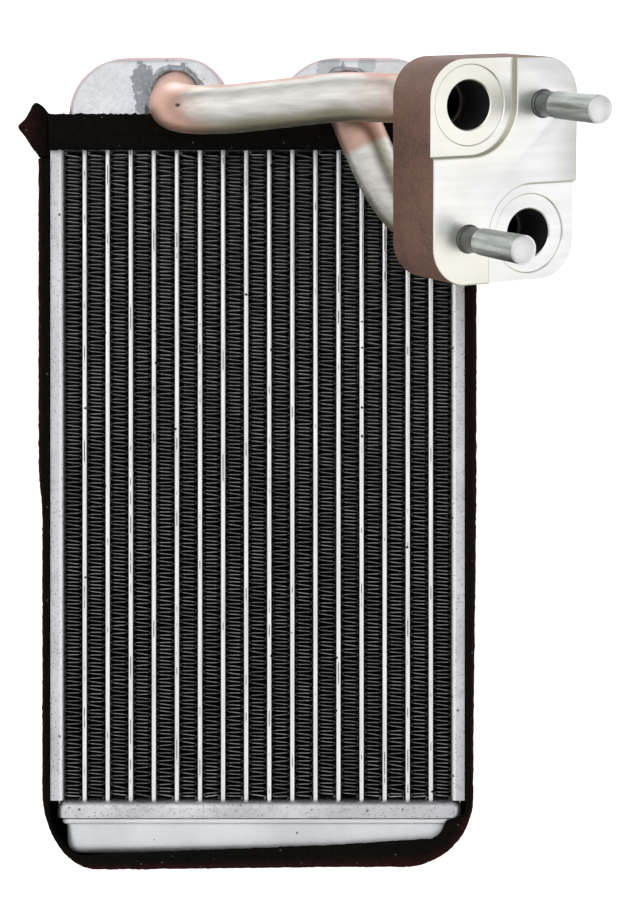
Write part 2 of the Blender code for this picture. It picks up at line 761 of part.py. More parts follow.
def add_studs(shop):
    """The studs: a root in the block, a collar, a slim shank and a threaded end."""
    collar_foot = GAP - STUD_SINK
    collar_top = collar_foot + STUD_COLLAR_HEIGHT
    shank_top = collar_top + STUD_SHANK_LENGTH
    profile = [
        (0.0, STUD_LENGTH),
        (STUD_RADIUS - STUD_POINT, STUD_LENGTH),
        (STUD_RADIUS - STUD_POINT / 4, STUD_LENGTH - STUD_POINT / 3),
        (STUD_RADIUS, STUD_LENGTH - STUD_POINT),
        (STUD_RADIUS, shank_top),
        (STUD_SHANK, shank_top - STUD_RADIUS + STUD_SHANK),
        (STUD_SHANK, collar_top),
        (STUD_COLLAR, collar_top),
        (STUD_COLLAR, collar_foot),
        (STUD_RADIUS, collar_foot),
        (STUD_RADIUS, -STUD_ROOT),
        (0.0, -STUD_ROOT),
    ]
    for name, place in stud_places().items():
        matrix = Matrix.Translation((*place, 0.0))
        stud = shop.piece(name, profile_mesh(name, profile), "stud", matrix)
        smooth(turned(stud, STUD_STEPS))


def corner_arc(side, size, outer):
    """Points of the foam's round lower corner, from the side to the bottom."""
    across, up = size
    edge = FOAM_OUTER if outer else FOAM_INNER
    floor = FOAM_FLOOR + (FOAM_THICKNESS if outer else 0.0)
    points = []
    for step in range(FOAM_CORNER_STEPS + 1):
        turn = pi / 2 * step / FOAM_CORNER_STEPS
        x = edge - across + across * cos(turn)
        y = -floor + up - up * sin(turn)
        points.append((side * x, y))
    return points


def foam_stations():
    """Pairs of outer and inner points along the tape, from the left top round."""
    strip_top = HALF_CORE + STRIP_HEIGHT
    stations = [((-FOAM_OUTER, FOAM_LEFT_TOP), (-FOAM_INNER, FOAM_LEFT_TOP))]
    left = zip(corner_arc(-1, FOAM_CORNER, True), corner_arc(-1, FOAM_INNER_CORNER, False))
    stations += list(left)
    right = zip(corner_arc(1, FOAM_CORNER, True), corner_arc(1, FOAM_INNER_CORNER, False))
    stations += reversed(list(right))
    stations.append(((FOAM_OUTER, strip_top), (FOAM_INNER, strip_top)))
    return stations


def add_foam_wrap(shop):
    """The tape round both sides and the bottom.

    Under the lower tank its front edge curls up over the tank's round edge, more
    at the right than at the left.
    """
    stations = foam_stations()
    reach = FOAM_INNER - FOAM_INNER_CORNER[0]
    rings = []
    for (outer_x, outer_y), (inner_x, inner_y) in stations:
        share = (inner_x / reach + 1) / 2
        curled = FOAM_LIP_LEFT + (FOAM_LIP_RIGHT - FOAM_LIP_LEFT) * share
        lip = curled if abs(inner_x) <= reach + GAP else 0.0
        rings.append(
            [
                (outer_x, outer_y, FOAM_BACK),
                (outer_x, outer_y, FOAM_FRONT),
                (inner_x, inner_y + lip, FOAM_FRONT),
                (inner_x, inner_y, FOAM_FRONT - FOAM_LIP_DEPTH),
                (inner_x, inner_y, FOAM_BACK),
            ]
        )
    shop.piece("foam_wrap", loft_mesh("foam_wrap", rings, first=True, last=True), "foam")


def add_foam_strip(shop, stubs):
    """The strip on the upper header's front wall, notched round both stubs."""
    left, right = -SIDE_OUTER, SIDE_OUTER
    low, high = HALF_CORE, HALF_CORE + STRIP_HEIGHT
    points = [(left, low), (right, low), (right, high), (left, high)]
    mesh = outline_mesh("foam_front_strip", points, STRIP_THICKNESS)
    middle = HEADER_DEPTH / 2 + GAP + STRIP_THICKNESS / 2
    strip = shop.piece("foam_front_strip", mesh, "foam", Matrix.Translation((0, 0, middle)))
    for stub in stubs:
        cut(strip, stub)


def add_tape_end(shop):
    """The tape's two ends, pressed together, stand out at the upper left corner."""
    foot = FOAM_LEFT_TOP + GAP
    points = [
        (-FOAM_INNER, foot),
        (-FOAM_INNER, HALF_CORE + TAPE_END_ROOT),
        (-FOAM_OUTER - TAPE_END_PEAK[0], HALF_CORE + TAPE_END_PEAK[1]),
        (-FOAM_OUTER - TAPE_END_TIP[0], HALF_CORE + TAPE_END_TIP[1]),
        (-FOAM_OUTER, foot),
    ]
    mesh = outline_mesh("foam_tape_end", points, FOAM_FRONT - FOAM_BACK)
    middle = (FOAM_FRONT + FOAM_BACK) / 2
    shop.piece("foam_tape_end", mesh, "foam", Matrix.Translation((0, 0, middle)))


def lie_on_back(frame, parts):
    """Move the part so that the middle of its underside is the world's origin."""
    bpy.context.view_layer.update()
    graph = bpy.context.evaluated_depsgraph_get()
    corners = []
    for obj in parts.objects:
        if obj.type == "MESH":
            evaluated = obj.evaluated_get(graph)
            corners += [evaluated.matrix_world @ Vector(c) for c in evaluated.bound_box]
    low = [min(corner[axis] for corner in corners) for axis in range(3)]
    high = [max(corner[axis] for corner in corners) for axis in range(3)]
    frame.location = (-(low[0] + high[0]) / 2, -(low[1] + high[1]) / 2, -low[2])
    bpy.context.view_layer.update()


def main():
    """Build the heater core."""
    clear_scene()
    parts = new_collection("heater_core")
    cutters = new_collection("cutters")
    core_frame = new_frame(parts, "core_frame", Matrix.Identity(4))
    shop = Shop(parts, cutters, make_materials(), core_frame)
    add_tubes(shop)
    add_fins(shop)
    add_side_plates(shop)
    add_header_plates(shop)
    add_lower_tank(shop)
    pipe_shop = shop.on_frame(new_frame(parts, "pipe_frame", PIPE_FRAME, core_frame))
    inlet_stub = stub_cutter(pipe_shop, "inlet_stub_hole", INLET_BASE)
    outlet_stub = stub_cutter(pipe_shop, "outlet_stub_hole", OUTLET_BASE)
    between = UPPER_TANK_FOOT_GAP / 2
    add_upper_tank(shop, "inlet_tank", INLET_TANK_LEFT, -FOOT_HALF, -between, inlet_stub)
    add_upper_tank(shop, "outlet_tank", OUTLET_TANK_LEFT, between, FOOT_HALF, outlet_stub)
    block_frame = new_frame(parts, "block_frame", block_placement(), pipe_shop.frame)
    add_block(shop.on_frame(block_frame))
    add_studs(shop.on_frame(block_frame))
    add_pipe(pipe_shop, "inlet_pipe", INLET_BASE, INLET_STUB, INLET_RUN, INLET_PORT)
    add_pipe(pipe_shop, "outlet_pipe", OUTLET_BASE, OUTLET_STUB, outlet_run(), OUTLET_PORT)
    add_foam_wrap(shop)
    add_foam_strip(shop, (inlet_stub, outlet_stub))
    add_tape_end(shop)
    lie_on_back(core_frame, parts)


main()
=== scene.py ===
"""Heater core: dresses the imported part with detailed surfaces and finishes.

Every piece is a surface worked out in metres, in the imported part's own frame: X runs
across the tubes, Y along them and Z out of the face that carries the pipes.
"""

from math import cos, pi, radians, sin

import bpy
import numpy as np
from mathutils import Matrix, Vector


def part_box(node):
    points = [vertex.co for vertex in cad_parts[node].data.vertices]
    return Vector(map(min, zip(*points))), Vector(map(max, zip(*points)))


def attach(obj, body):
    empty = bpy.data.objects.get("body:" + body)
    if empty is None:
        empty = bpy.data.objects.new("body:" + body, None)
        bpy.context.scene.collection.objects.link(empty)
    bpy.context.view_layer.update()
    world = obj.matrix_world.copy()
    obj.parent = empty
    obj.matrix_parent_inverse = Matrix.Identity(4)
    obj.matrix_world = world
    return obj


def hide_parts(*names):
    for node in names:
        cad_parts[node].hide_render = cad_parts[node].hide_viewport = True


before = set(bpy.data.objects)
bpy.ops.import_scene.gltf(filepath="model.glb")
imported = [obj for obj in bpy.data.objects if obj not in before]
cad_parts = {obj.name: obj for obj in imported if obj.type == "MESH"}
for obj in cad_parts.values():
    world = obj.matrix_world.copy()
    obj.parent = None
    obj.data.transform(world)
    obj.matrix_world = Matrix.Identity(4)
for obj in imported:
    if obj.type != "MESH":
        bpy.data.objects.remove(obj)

bl_info = {
    "name": "Heater Core",
    "version": (1, 0, 0),
    "blender": (4, 5, 0),
    "location": "3D View > Sidebar > Heater Core",
    "description": "Adds the detailed pieces and the stage of a heater core",
    "category": "Add Mesh",
}

MM = 0.001
BODY = "root"
IMAGE_HEIGHT = 906


def core_centre():
    """The middle of the finned core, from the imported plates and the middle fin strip."""
    plate_low, plate_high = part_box("lower_header_plate")
    fin_low, fin_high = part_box("fin_09")
    across = (plate_low.x + plate_high.x) / 2
    along = (fin_low.y + fin_high.y) / 2
    return np.array([across, along, (plate_low.z + plate_high.z) / 2])


CORE = core_centre()


def length(name, description, millimetres):
    """A size that a user may change."""
    return bpy.props.FloatProperty(
        name=name,
        description=description,
        default=millimetres * MM,
        unit="LENGTH",
        subtype="DISTANCE",
        precision=4,
    )


def turn(name, description, degrees):
    """An angle that a user may change."""
    return bpy.props.FloatProperty(
        name=name, description=description, default=radians(degrees), subtype="ANGLE"
    )


def share(name, description, value, low=0.0, high=1.0):
    """A plain number that a user may change between two ends."""
    return bpy.props.FloatProperty(
        name=name, description=description, default=value, min=low, max=high, subtype="FACTOR"
    )


def place(name, description, *millimetres):
    """A point or an offset that a user may change."""
    return bpy.props.FloatVectorProperty(
        name=name,
        description=description,
        default=[value * MM for value in millimetres],
        size=len(millimetres),
        unit="LENGTH",
        subtype="TRANSLATION" if len(millimetres) == 3 else "NONE",
        precision=4,
    )


def colour(name, description, *rgb):
    """A colour that a user may change."""
    return bpy.props.FloatVectorProperty(
        name=name,
        description=description,
        default=rgb,
        size=3,
        min=0.0,
        max=1.0,
        subtype="COLOR",
    )


class HeaterCoreSizes(bpy.types.PropertyGroup):
    """Sizes of the tubes, fins and plates."""

    tube_count: bpy.props.IntProperty(
        name="Tubes", description="Number of flat tubes", default=16, min=1
    )
    tube_pitch: length("Tube pitch", "From one tube's middle to the next", 7.4)
    tube_thickness: length("Tube thickness", "Across a flat tube", 1.6)
    tube_depth: length("Tube depth", "From a tube's front nose to its back", 25.0)
    tube_wall: length("Tube wall", "Sheet of the tubes", 0.35)
    tube_reach: length("Tube reach", "How far a tube stands into the header", 2.4)
    core_height: length("Core height", "Between the two header plates", 208.4)
    fin_leg_pitch: length("Fin leg pitch", "From one fin leg to the next", 1.2)
    fin_foil: length("Fin foil", "Thickness of the fin strips", 0.14)
    fin_edge: length("Fin edge", "Thickness of the legs' rolled front edges", 0.27)
    fin_climb: share("Fin climb", "How far a slanting leg climbs, in leg pitches", 0.36)
    header_right: length("Header right", "Further reach of the lower header's right end", 1.2)
    fin_setback: length("Fin setback", "How far the fins stay behind the noses", 0.6)
    side_flange: length("Side flange", "Width of the side channels", 4.1)
    side_sheet: length("Side sheet", "Thickness of the side channels", 1.0)
    side_depth: length("Side depth", "Depth of the side channels", 29.0)
    header_overhang: length("Header overhang", "Header beyond the outer fins", 1.9)
    header_wall: length("Header wall", "Height of the header trays", 5.1)
    header_sheet: length("Header sheet", "Thickness of the header trays", 1.2)
    clearance: length("Clearance", "Gap at a brazed joint", 0.3)


class HeaterCoreTanks(bpy.types.PropertyGroup):
    """Sizes of the tanks."""

    wall: length("Wall", "Sheet of the tanks", 1.2)
    corner: length("Corner", "Round of the tanks' feet", 2.0)
    bead_height: length("Bead height", "Height of the bead on the header's rim", 1.9)
    bead_stand: length("Bead stand", "How far the bead stands out", 1.4)
    lower_height: length("Lower height", "Height of the lower tank", 17.1)
    lower_inset: length("Lower inset", "From the foot's end to the body's", 1.5)
    lower_round: length("Lower round", "Round of the lower tank's section", 4.8)
    lower_fullness: share("Lower fullness", "2 makes its arch round, more fuller", 3.4, 2.0, 6.0)
    lower_end: length("Lower end round", "Round at the lower tank's left end", 3.8)
    lower_end_right: length("Lower right round", "Round at its right end", 5.5)
    upper_height: length("Upper height", "Height of the domed tanks", 29.7)
    upper_shoulder: length("Upper shoulder", "Height of the domed part", 18.2)
    upper_rim: length("Upper rim", "Round of the domes' edges", 2.2)
    foot_gap: length("Foot gap", "Between the two upper tanks' feet", 2.4)
    long_slope: length("Long slope", "Width of a dome's left shoulder", 19.2)
    short_slope: length("Short slope", "Width of a dome's right shoulder", 16.0)
    upper_width: length("Upper width", "Width of a domed tank", 52.4)
    inlet_inset: length("Inlet inset", "From the foot's end to the left dome", 2.1)
    outlet_inset: length("Outlet inset", "From the foot's end to the right dome", 5.0)


class HeaterCorePipes(bpy.types.PropertyGroup):
    """Sizes and routes of the pipes."""

    radius: length("Radius", "Outer radius of the pipes", 7.5)
    wall: length("Wall", "Wall of the pipes", 1.2)
    tilt: turn("Tilt", "How far the pipes lean down where they leave the tanks", 18.0)
    inset: length("Inset", "How far the pipes reach into the tanks", 2.5)
    elbow: length("Elbow", "Bend radius of the elbows", 14.0)
    easy_bend: length("Easy bend", "Bend radius along the runs", 60.0)
    port_run: length("Port run", "Straight part behind the block", 14.0)
    inlet_hot: length("Inlet hot", "Copper pink as far as this along the inlet", 24.0)
    inlet_cool: length("Inlet cool", "Silver from here along the inlet", 46.0)
    outlet_hot: length("Outlet hot", "Copper pink as far as this along the outlet", 29.5)
    outlet_cool: length("Outlet cool", "Silver from here along the outlet", 34.5)
    inlet_joint: place("Inlet joint", "From the tank's left and the header", 34.2, 17.4)
    inlet_stub: length("Inlet stub", "Length of the inlet pipe's stub", 27.8)
    inlet_first: place("Inlet first corner", "On the pipe frame", -7.1, 9.1, 28.6)
    inlet_second: place("Inlet second corner", "On the pipe frame", 26.7, 12.2, 33.3)
    outlet_joint: place("Outlet joint", "From the tank's left and the header", 22.9, 17.4)
    outlet_stub: length("Outlet stub", "Length of the outlet pipe's stub", 18.9)
    outlet_start: place("Outlet start", "First corner on the pipe frame", 34.7, -1.2, 17.7)
    outlet_approach: place("Outlet approach", "From the port's line back", -16.2, -0.7, -4.0)
    outlet_bow_share: share("Outlet bow share", "Where the outlet bows, along its way", 0.45)
    outlet_bow: place("Outlet bow", "How far the outlet bows to the side", -1.3, -0.8, 0.4)


class HeaterCoreBlock(bpy.types.PropertyGroup):
    """Sizes of the connection block and its studs."""

    centre: place("Centre", "Middle of the block's face on the pipe frame", 75.1, -13.6, 59.8)
    yaw: turn("Yaw", "Turn to the side", 28.5)
    pitch: turn("Pitch", "Turn downward", 10.2)
    roll: turn("Roll", "Turn round the block's own axis", 5.9)
    width: length("Width", "Width of the block", 49.9)
    height: length("Height", "Height of the block", 66.4)
    thickness: length("Thickness", "Thickness of the block", 24.2)
    corner: length("Corner", "Round of the block's corners", 11.5)
    edge: length("Edge", "Broken edge round the faces", 0.5)
    pocket_depth: length("Pocket depth", "Step down round a port", 1.9)
    pocket_radius: length("Pocket radius", "Round of the step", 14.6)
    pocket_slope: length("Pocket slope", "How far the step's wall leans", 0.6)
    inlet_port: place("Inlet port", "From the block's nearest edges", 13.45, 13.5)
    outlet_port: place("Outlet port", "From the block's nearest edges", 15.45, 14.0)
    bore: length("Bore", "Radius of the ports", 7.3)
    seat: length("Seat", "Radius of the seats", 11.75)
    seat_depth: length("Seat depth", "Depth of the seats", 0.5)
    socket: length("Socket", "Depth of the pipes' sockets", 6.0)
    stud_edges: place("Stud place", "From the block's nearest edges", 12.15, 13.8)
    stud_length: length("Stud length", "How far a stud stands out", 30.3)
    stud_radius: length("Stud radius", "Radius of a stud's thread", 4.0)
    stud_flare: length("Stud flare", "How much wider a stud is at its tip", 0.3)
    stud_chamfer: length("Stud chamfer", "Broken edge at a stud's tip", 0.6)
    stud_shank: length("Stud shank", "Radius of a stud's shank", 3.75)
    stud_shank_length: length("Shank length", "Length of a stud's shank", 7.0)
    stud_collar: length("Stud collar", "Radius of a stud's collar", 4.15)
    stud_play: length("Stud play", "Gap round a stud's collar", 0.08)
    stud_collar_height: length("Collar height", "Height of a stud's collar", 1.2)
    stud_sink: length("Collar sink", "How deep a collar stands in its hole", 0.8)
    stud_root: length("Stud root", "How deep a stud stands in the block", 11.0)
    thread_pitch: length("Thread pitch", "From one turn of the thread to the next", 1.25)
    thread_depth: length("Thread depth", "Depth of the thread", 0.07)


class HeaterCoreFoam(bpy.types.PropertyGroup):
    """Sizes of the foam tape."""

    thickness: length("Thickness", "Thickness of the tape", 3.7)
    back: length("Back", "Tape's back edge from the core's middle", -15.2)
    front: length("Front", "Tape's front edge from the core's middle", 16.2)
    left_corner: place("Left corner", "Round of the lower left corner, outside", 18.0, 25.0)
    right_corner: place("Right corner", "Round of the lower right corner, outside", 22.5, 22.5)
    inner_corner: place("Inner corner", "Round of the lower corners, inside", 12.0, 16.0)
    press: place("Press", "How far the tape is pressed in at its lower left and right", 1.2, 1.0)
    press_start: length("Press start", "Height at which the pressing starts", 5.0)
    press_ends: place("Press ends", "Heights at which left and right are full", -15.0, -100.0)
    left_drop: length("Left drop", "From the core's top to the tape's left end", 2.9)
    sag: length("Sag", "How much lower the tape is at the left", 0.8)
    lip_left: length("Left lip", "Front edge's curl at the lower left", 0.6)
    lip_middle: length("Middle lip", "Front edge's curl right of the middle", 4.0)
    lip_right: length("Right lip", "Front edge's curl at the lower right", 5.8)
    lip_depth: length("Lip depth", "How far back the curl reaches", 4.5)
    strip_thickness: length("Strip thickness", "Thickness of the front strip", 4.0)
    strip_height: length("Strip height", "Height of the front strip", 11.1)
    strip_droop: length("Strip droop", "How far the strip hangs over the fins", 0.5)
    end_tip: place("End tip", "Tape end's outer corner", 6.4, 7.3)
    end_peak: place("End peak", "Tape end's upper corner", 1.0, 15.1)
    end_root: length("End root", "Tape end's height at the tank", 11.0)
    fuzz: length("Fuzz", "Roughness of the foam's skin", 0.11)


class HeaterCoreFinishes(bpy.types.PropertyGroup):
    """Colours of the finishes, and the places of the marks on them."""

    tube: colour("Tube", "Bright noses of the tubes", 0.90, 0.90, 0.92)
    # Dark seam slits and pits are the thing's own; the same colour is also the painted shade
    # inside bores, holes and pipes.
    slit_and_shade: colour("Slit", "Dark seam slits and pits", 0.04, 0.04, 0.04)
    fin: colour("Fin", "Foil of the fins", 0.20, 0.20, 0.195)
    # Painted light: how bright the fin sides that face down look deep between the legs.
    fin_side: colour("Fin side", "Foil on the sides that face down", 0.30, 0.30, 0.29)
    sheet: colour("Sheet", "Side plates and header plates", 0.63, 0.62, 0.645)
    sheet_speck: colour("Sheet speck", "Specks on the plates", 0.22, 0.21, 0.22)
    tank: colour("Tank", "Tanks", 0.70, 0.71, 0.73)
    residue: colour("Residue", "Flux residue round the brazed joints", 0.27, 0.285, 0.31)
    stain: colour("Stain", "Darker parts of the residue", 0.20, 0.21, 0.23)
    # Real copper-pink heat tint, and also the colour of the painted reflection along the pipes'
    # tops.
    heat_tint_and_top_reflection: colour("Heat tint", "Copper pink bloom near heated edges", 0.55, 0.31, 0.235)
    rim_tint: colour("Rim tint", "Pink on the domes' rolled rims", 0.60, 0.31, 0.34)
    pipe: colour("Pipe", "Drawn pipes", 0.72, 0.71, 0.67)
    # Painted highlight: the palest pink on the elbow.
    elbow_highlight: colour("Elbow pale", "Palest pink on the elbow", 1.0, 0.80, 0.76)
    # Painted shade: the olive dark that the pipes' undersides get.
    pipe_shaded_underside: colour("Pipe underside", "Olive film on the pipes' undersides", 0.22, 0.18, 0.08)
    block: colour("Block", "Machined faces", 0.86, 0.865, 0.86)
    # Painted shade: olive grey on the walls of the pockets and seats.
    block_wall_shade: colour("Block warm", "Olive grey on the machined walls", 0.42, 0.41, 0.32)
    block_cream: colour("Block cream", "Cream tint on the machined face", 0.93, 0.90, 0.78)
    block_side: colour("Block side", "Raw drawn sides of the block", 0.145, 0.076, 0.054)
    stud: colour("Stud", "Plated studs", 0.46, 0.495, 0.47)
    ring_stain: place("Ring stain", "From the inlet's joint", 1.5, 1.0, 0.0)
    left_stain: place("Left stain", "From the core's middle", -36.6, 126.5, 13.8)
    left_stain_low: place("Left stain low", "From the core's middle", -36.0, 119.6, 13.8)
    right_stain: place("Right stain", "From the core's middle", 22.8, 130.4, 13.5)
    far_stain: place("Far stain", "From the core's middle", 35.2, 131.3, 13.5)
    left_chip: place("Left chip", "From the core's middle", -35.4, 117.2, 14.0)
    right_chip: place("Right chip", "From the core's middle", 27.3, 130.0, 14.0)
    dimple: place("Dimple", "Dark dent in the inlet's elbow", -23.75, 114.0, 50.0)
    # Place of the painted highlight on the elbow.
    elbow_highlight_spot: place("Elbow shine", "Palest part of the elbow", -24.8, 121.4, 45.0)
    foam: colour("Foam", "Foam tape", 0.0045, 0.0040, 0.0034)
    foam_edge: colour("Foam edge", "Cut edges of the foam", 0.07, 0.016, 0.014)


def groups_of(context, *names):
    """The scene's property groups of these names, in the same order."""
    return [getattr(context.scene, "heater_core_" + name) for name in names]


# Meshes


def grid_quads(rows, columns, wrap_rows=False, wrap_columns=False):
    """Corner numbers of a grid's quads; a wrapped way joins its end to its start."""
    row, column = np.meshgrid(
        np.arange(rows if wrap_rows else rows - 1),
        np.arange(columns if wrap_columns else columns - 1),
        indexing="ij",
    )
    next_row = (row + 1) % rows
    next_column = (column + 1) % columns
    corners = [
        row * columns + column,
        row * columns + next_column,
        next_row * columns + next_column,
        next_row * columns + column,
    ]
    return np.stack(corners, axis=-1).reshape(-1, 4)


def signed_volume(points, quads):
    """Six times the volume that the quads enclose; it is below zero where they face in.

    Each quad is two triangles, and each triangle adds the product a . (b x c).
    """
    a, b, c, d = (points[quads[:, k]] for k in range(4))
    first = np.einsum("ij,ij->i", a, np.cross(b, c))
    second = np.einsum("ij,ij->i", a, np.cross(c, d))
    return float(first.sum() + second.sum())


def mesh_of(name, points, faces, fields, shape):
    """A mesh from a grid's points and its faces, with named values on the points."""
    mesh = bpy.data.meshes.new(name)
    mesh.from_pydata(points.tolist(), [], faces)
    for field, values in fields.items():
        layer = mesh.attributes.new(field, "FLOAT", "POINT")
        layer.data.foreach_set("value", np.broadcast_to(values, shape).ravel())
    mesh.update()
    return mesh


def grid_mesh(name, grid, wrap_rows=False, wrap_columns=True, capped=False, fields=None):
    """A mesh from a grid of points (rows, columns, xyz), with its faces outward.

    Capped grids close their first and last rows with one face each. Fields are
    named values, one for each point of the grid, kept as attributes.
    """
    rows, columns = grid.shape[:2]
    points = grid.reshape(-1, 3)
    quads = grid_quads(rows, columns, wrap_rows, wrap_columns)
    inside_out = signed_volume(points - points.mean(axis=0), quads) < 0
    faces = quads.tolist()
    if capped:
        faces.append(list(range(columns))[::-1])
        faces.append(list(range((rows - 1) * columns, rows * columns)))
    if inside_out:
        faces = [face[::-1] for face in faces]
    return mesh_of(name, points, faces, fields or {}, (rows, columns))


def add_piece(name, mesh, finishes, nodes=(), degrees=40.0):
    """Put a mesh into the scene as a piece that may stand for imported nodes.

    It is shaded smooth, with edges above an angle in degrees kept sharp.
    """
    mesh.shade_smooth()
    mesh.set_sharp_from_angle(angle=radians(degrees))
    for finish in finishes:
        mesh.materials.append(finish)
    piece = bpy.data.objects.new(name, mesh)
    bpy.context.scene.collection.objects.link(piece)
    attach(piece, BODY)
    if nodes:
        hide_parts(*nodes)
    return piece


def carved(name, mesh, cutters):
    """A mesh with closed shapes taken away from it."""
    holder = bpy.data.objects.new(name + "_raw", mesh)
    bpy.context.scene.collection.objects.link(holder)
    tools = []
    for index, shape in enumerate(cutters):
        tool = bpy.data.objects.new(f"{name}_cutter_{index}", shape)
        bpy.context.scene.collection.objects.link(tool)
        tools.append(tool)
        carve = holder.modifiers.new("carve", "BOOLEAN")
        carve.operation = "DIFFERENCE"
        carve.solver = "EXACT"
        carve.object = tool
    bpy.context.view_layer.update()
    evaluated = holder.evaluated_get(bpy.context.evaluated_depsgraph_get())
    result = bpy.data.meshes.new_from_object(evaluated)
    result.name = name
    result.materials.clear()
    for used in [holder, *tools]:
        spent = used.data
        bpy.data.objects.remove(used, do_unlink=True)
        bpy.data.meshes.remove(spent)
    return result


def arc(start, end, steps):
    """Evenly spaced angles."""
    return np.linspace(start, end, steps + 1)


def full_turn(steps):
    """Evenly spaced angles all the way round, each once."""
    return arc(0.0, 2 * pi, steps)[:-1]


def ramp_up(values, start, length):
    """0 up to a start, then rising evenly to 1 over a length."""
    return np.clip((values - start) / length, 0.0, 1.0)


def ramp_down(values, end, length):
    """0 from an end on, and before it falling evenly from 1 over a length."""
    return np.clip((end - values) / length, 0.0, 1.0)


def waves(points, size, seed):
    """A smooth random height at each point, from -1 to 1.

    It is the mean of eight sine waves with random directions and phases, whose
    length is about size.
    """
    random = np.random.default_rng(seed)
    ways = random.normal(size=(8, 3))
    ways *= 2 * pi / size / np.linalg.norm(ways, axis=1, keepdims=True)
    phases = random.uniform(0, 2 * pi, 8)
    return np.sin(points @ ways.T + phases).mean(axis=-1) * 2


# Finishes


def toned(colour, factor):
    """A colour made darker or lighter, held at 1."""
    return [min(1.0, value * factor) for value in colour]


class Finish:
    """A material in the making: a Principled shader and the nodes that feed it."""

    def __init__(self, name, metallic=0.0, roughness=0.5):
        self.material = bpy.data.materials.new(name)
        self.material.use_nodes = True
        self.tree = self.material.node_tree
        self.shader = self.tree.nodes["Principled BSDF"]
        self.shader.inputs["Metallic"].default_value = metallic
        self.shader.inputs["Roughness"].default_value = roughness
        self.coordinates = self.tree.nodes.new("ShaderNodeTexCoord")

    def join(self, value, socket):
        """Link a socket, or set a plain value."""
        if isinstance(value, bpy.types.NodeSocket):
            self.tree.links.new(value, socket)
        else:
            socket.default_value = value

    def object_space(self, stretch=(1.0, 1.0, 1.0), rotation=(0.0, 0.0, 0.0)):
        """Object coordinates, seen from axes with a rotation and then stretched."""
        mapping = self.tree.nodes.new("ShaderNodeMapping")
        mapping.vector_type = "TEXTURE"
        mapping.inputs["Scale"].default_value = [1 / value for value in stretch]
        mapping.inputs["Rotation"].default_value = rotation
        self.tree.links.new(self.coordinates.outputs["Object"], mapping.inputs["Vector"])
        return mapping.outputs["Vector"]

    def noise(self, scale, detail=3.0, vector=None, rough=0.5):
        """A noise with a scale per metre."""
        node = self.tree.nodes.new("ShaderNodeTexNoise")
        node.inputs["Scale"].default_value = scale
        node.inputs["Detail"].default_value = detail
        node.inputs["Roughness"].default_value = rough
        self.tree.links.new(vector or self.object_space(), node.inputs["Vector"])
        return node.outputs["Fac"]

    def specks(self, scale, share):
        """Small spots: 1 in a share of the cells of a Voronoi pattern, else 0."""
        node = self.tree.nodes.new("ShaderNodeTexVoronoi")
        node.inputs["Scale"].default_value = scale
        self.tree.links.new(self.object_space(), node.inputs["Vector"])
        spot = self.spread(node.outputs["Distance"], 0.34, 0.22)
        split = self.tree.nodes.new("ShaderNodeSeparateColor")
        self.tree.links.new(node.outputs["Color"], split.inputs["Color"])
        chosen = self.math("LESS_THAN", split.outputs["Red"], share)
        return self.math("MULTIPLY", spot, chosen)

    def spread(self, value, low, high, to_low=0.0, to_high=1.0):
        """Map a range of values to another, eased, with the ends held."""
        node = self.tree.nodes.new("ShaderNodeMapRange")
        node.interpolation_type = "SMOOTHSTEP"
        self.join(value, node.inputs["Value"])
        numbers = (low, high, to_low, to_high)
        for name, number in zip(("From Min", "From Max", "To Min", "To Max"), numbers):
            node.inputs[name].default_value = number
        return node.outputs["Result"]

    def math(self, operation, first, second=0.0):
        """One Math node."""
        node = self.tree.nodes.new("ShaderNodeMath")
        node.operation = operation
        self.join(first, node.inputs[0])
        self.join(second, node.inputs[1])
        return node.outputs["Value"]

    def blend(self, share, first, second):
        """A colour between two."""
        node = self.tree.nodes.new("ShaderNodeMix")
        node.data_type = "RGBA"
        self.join(share, node.inputs["Factor"])
        colours = [socket for socket in node.inputs if socket.type == "RGBA"]
        for value, socket in zip((first, second), colours):
            if isinstance(value, bpy.types.NodeSocket):
                self.tree.links.new(value, socket)
            else:
                socket.default_value = (*value, 1.0)
        return next(socket for socket in node.outputs if socket.type == "RGBA")

    def axis(self, name, source="Object"):
        """One part of the object coordinates or of the surface's direction."""
        split = self.tree.nodes.new("ShaderNodeSeparateXYZ")
        self.tree.links.new(self.coordinates.outputs[source], split.inputs["Vector"])
        return split.outputs[name]

    def field(self, name):
        """A value kept on the piece's points."""
        node = self.tree.nodes.new("ShaderNodeAttribute")
        node.attribute_name = name
        return node.outputs["Fac"]

    def nearness(self, point, reach, full, weights=(1.0, 1.0, 1.0)):
        """1 up to a distance from a point, falling to 0 at its reach, weighted by axis."""
        node = self.tree.nodes.new("ShaderNodeVectorMath")
        node.operation = "DISTANCE"
        self.tree.links.new(self.object_space(weights), node.inputs[0])
        weighted = [float(value) * weight for value, weight in zip(point, weights)]
        node.inputs[1].default_value = weighted
        return self.spread(node.outputs["Value"], full, reach, 1.0, 0.0)

    def patch(self, near, ragged, low, high, strength):
        """A ragged patch: where a nearness plus a noise lies between two values."""
        patch = self.spread(self.math("ADD", near, ragged), low, high, 0.0, strength)
        return self.math("MULTIPLY", patch, self.math("GREATER_THAN", near, 0.02))

    def tones(self, pattern, colour, dark, light, low=0.3, high=0.7):
        """A colour that a pattern takes from a darker to a lighter tone."""
        share = self.spread(pattern, low, high)
        return self.blend(share, toned(colour, dark), toned(colour, light))

    def set(self, socket, value):
        """Feed one of the shader's sockets."""
        self.tree.links.new(value, self.shader.inputs[socket])

    def rough(self, pattern, least, most):
        """Let a pattern move the roughness between two values."""
        self.set("Roughness", self.spread(pattern, 0.3, 0.7, least, most))

    def bump(self, height, depth, strength=1.0):
        """Raise the surface by a height pattern, in metres."""
        node = self.tree.nodes.new("ShaderNodeBump")
        node.inputs["Distance"].default_value = depth
        node.inputs["Strength"].default_value = strength
        self.tree.links.new(height, node.inputs["Height"])
        self.tree.links.new(node.outputs["Normal"], self.shader.inputs["Normal"])


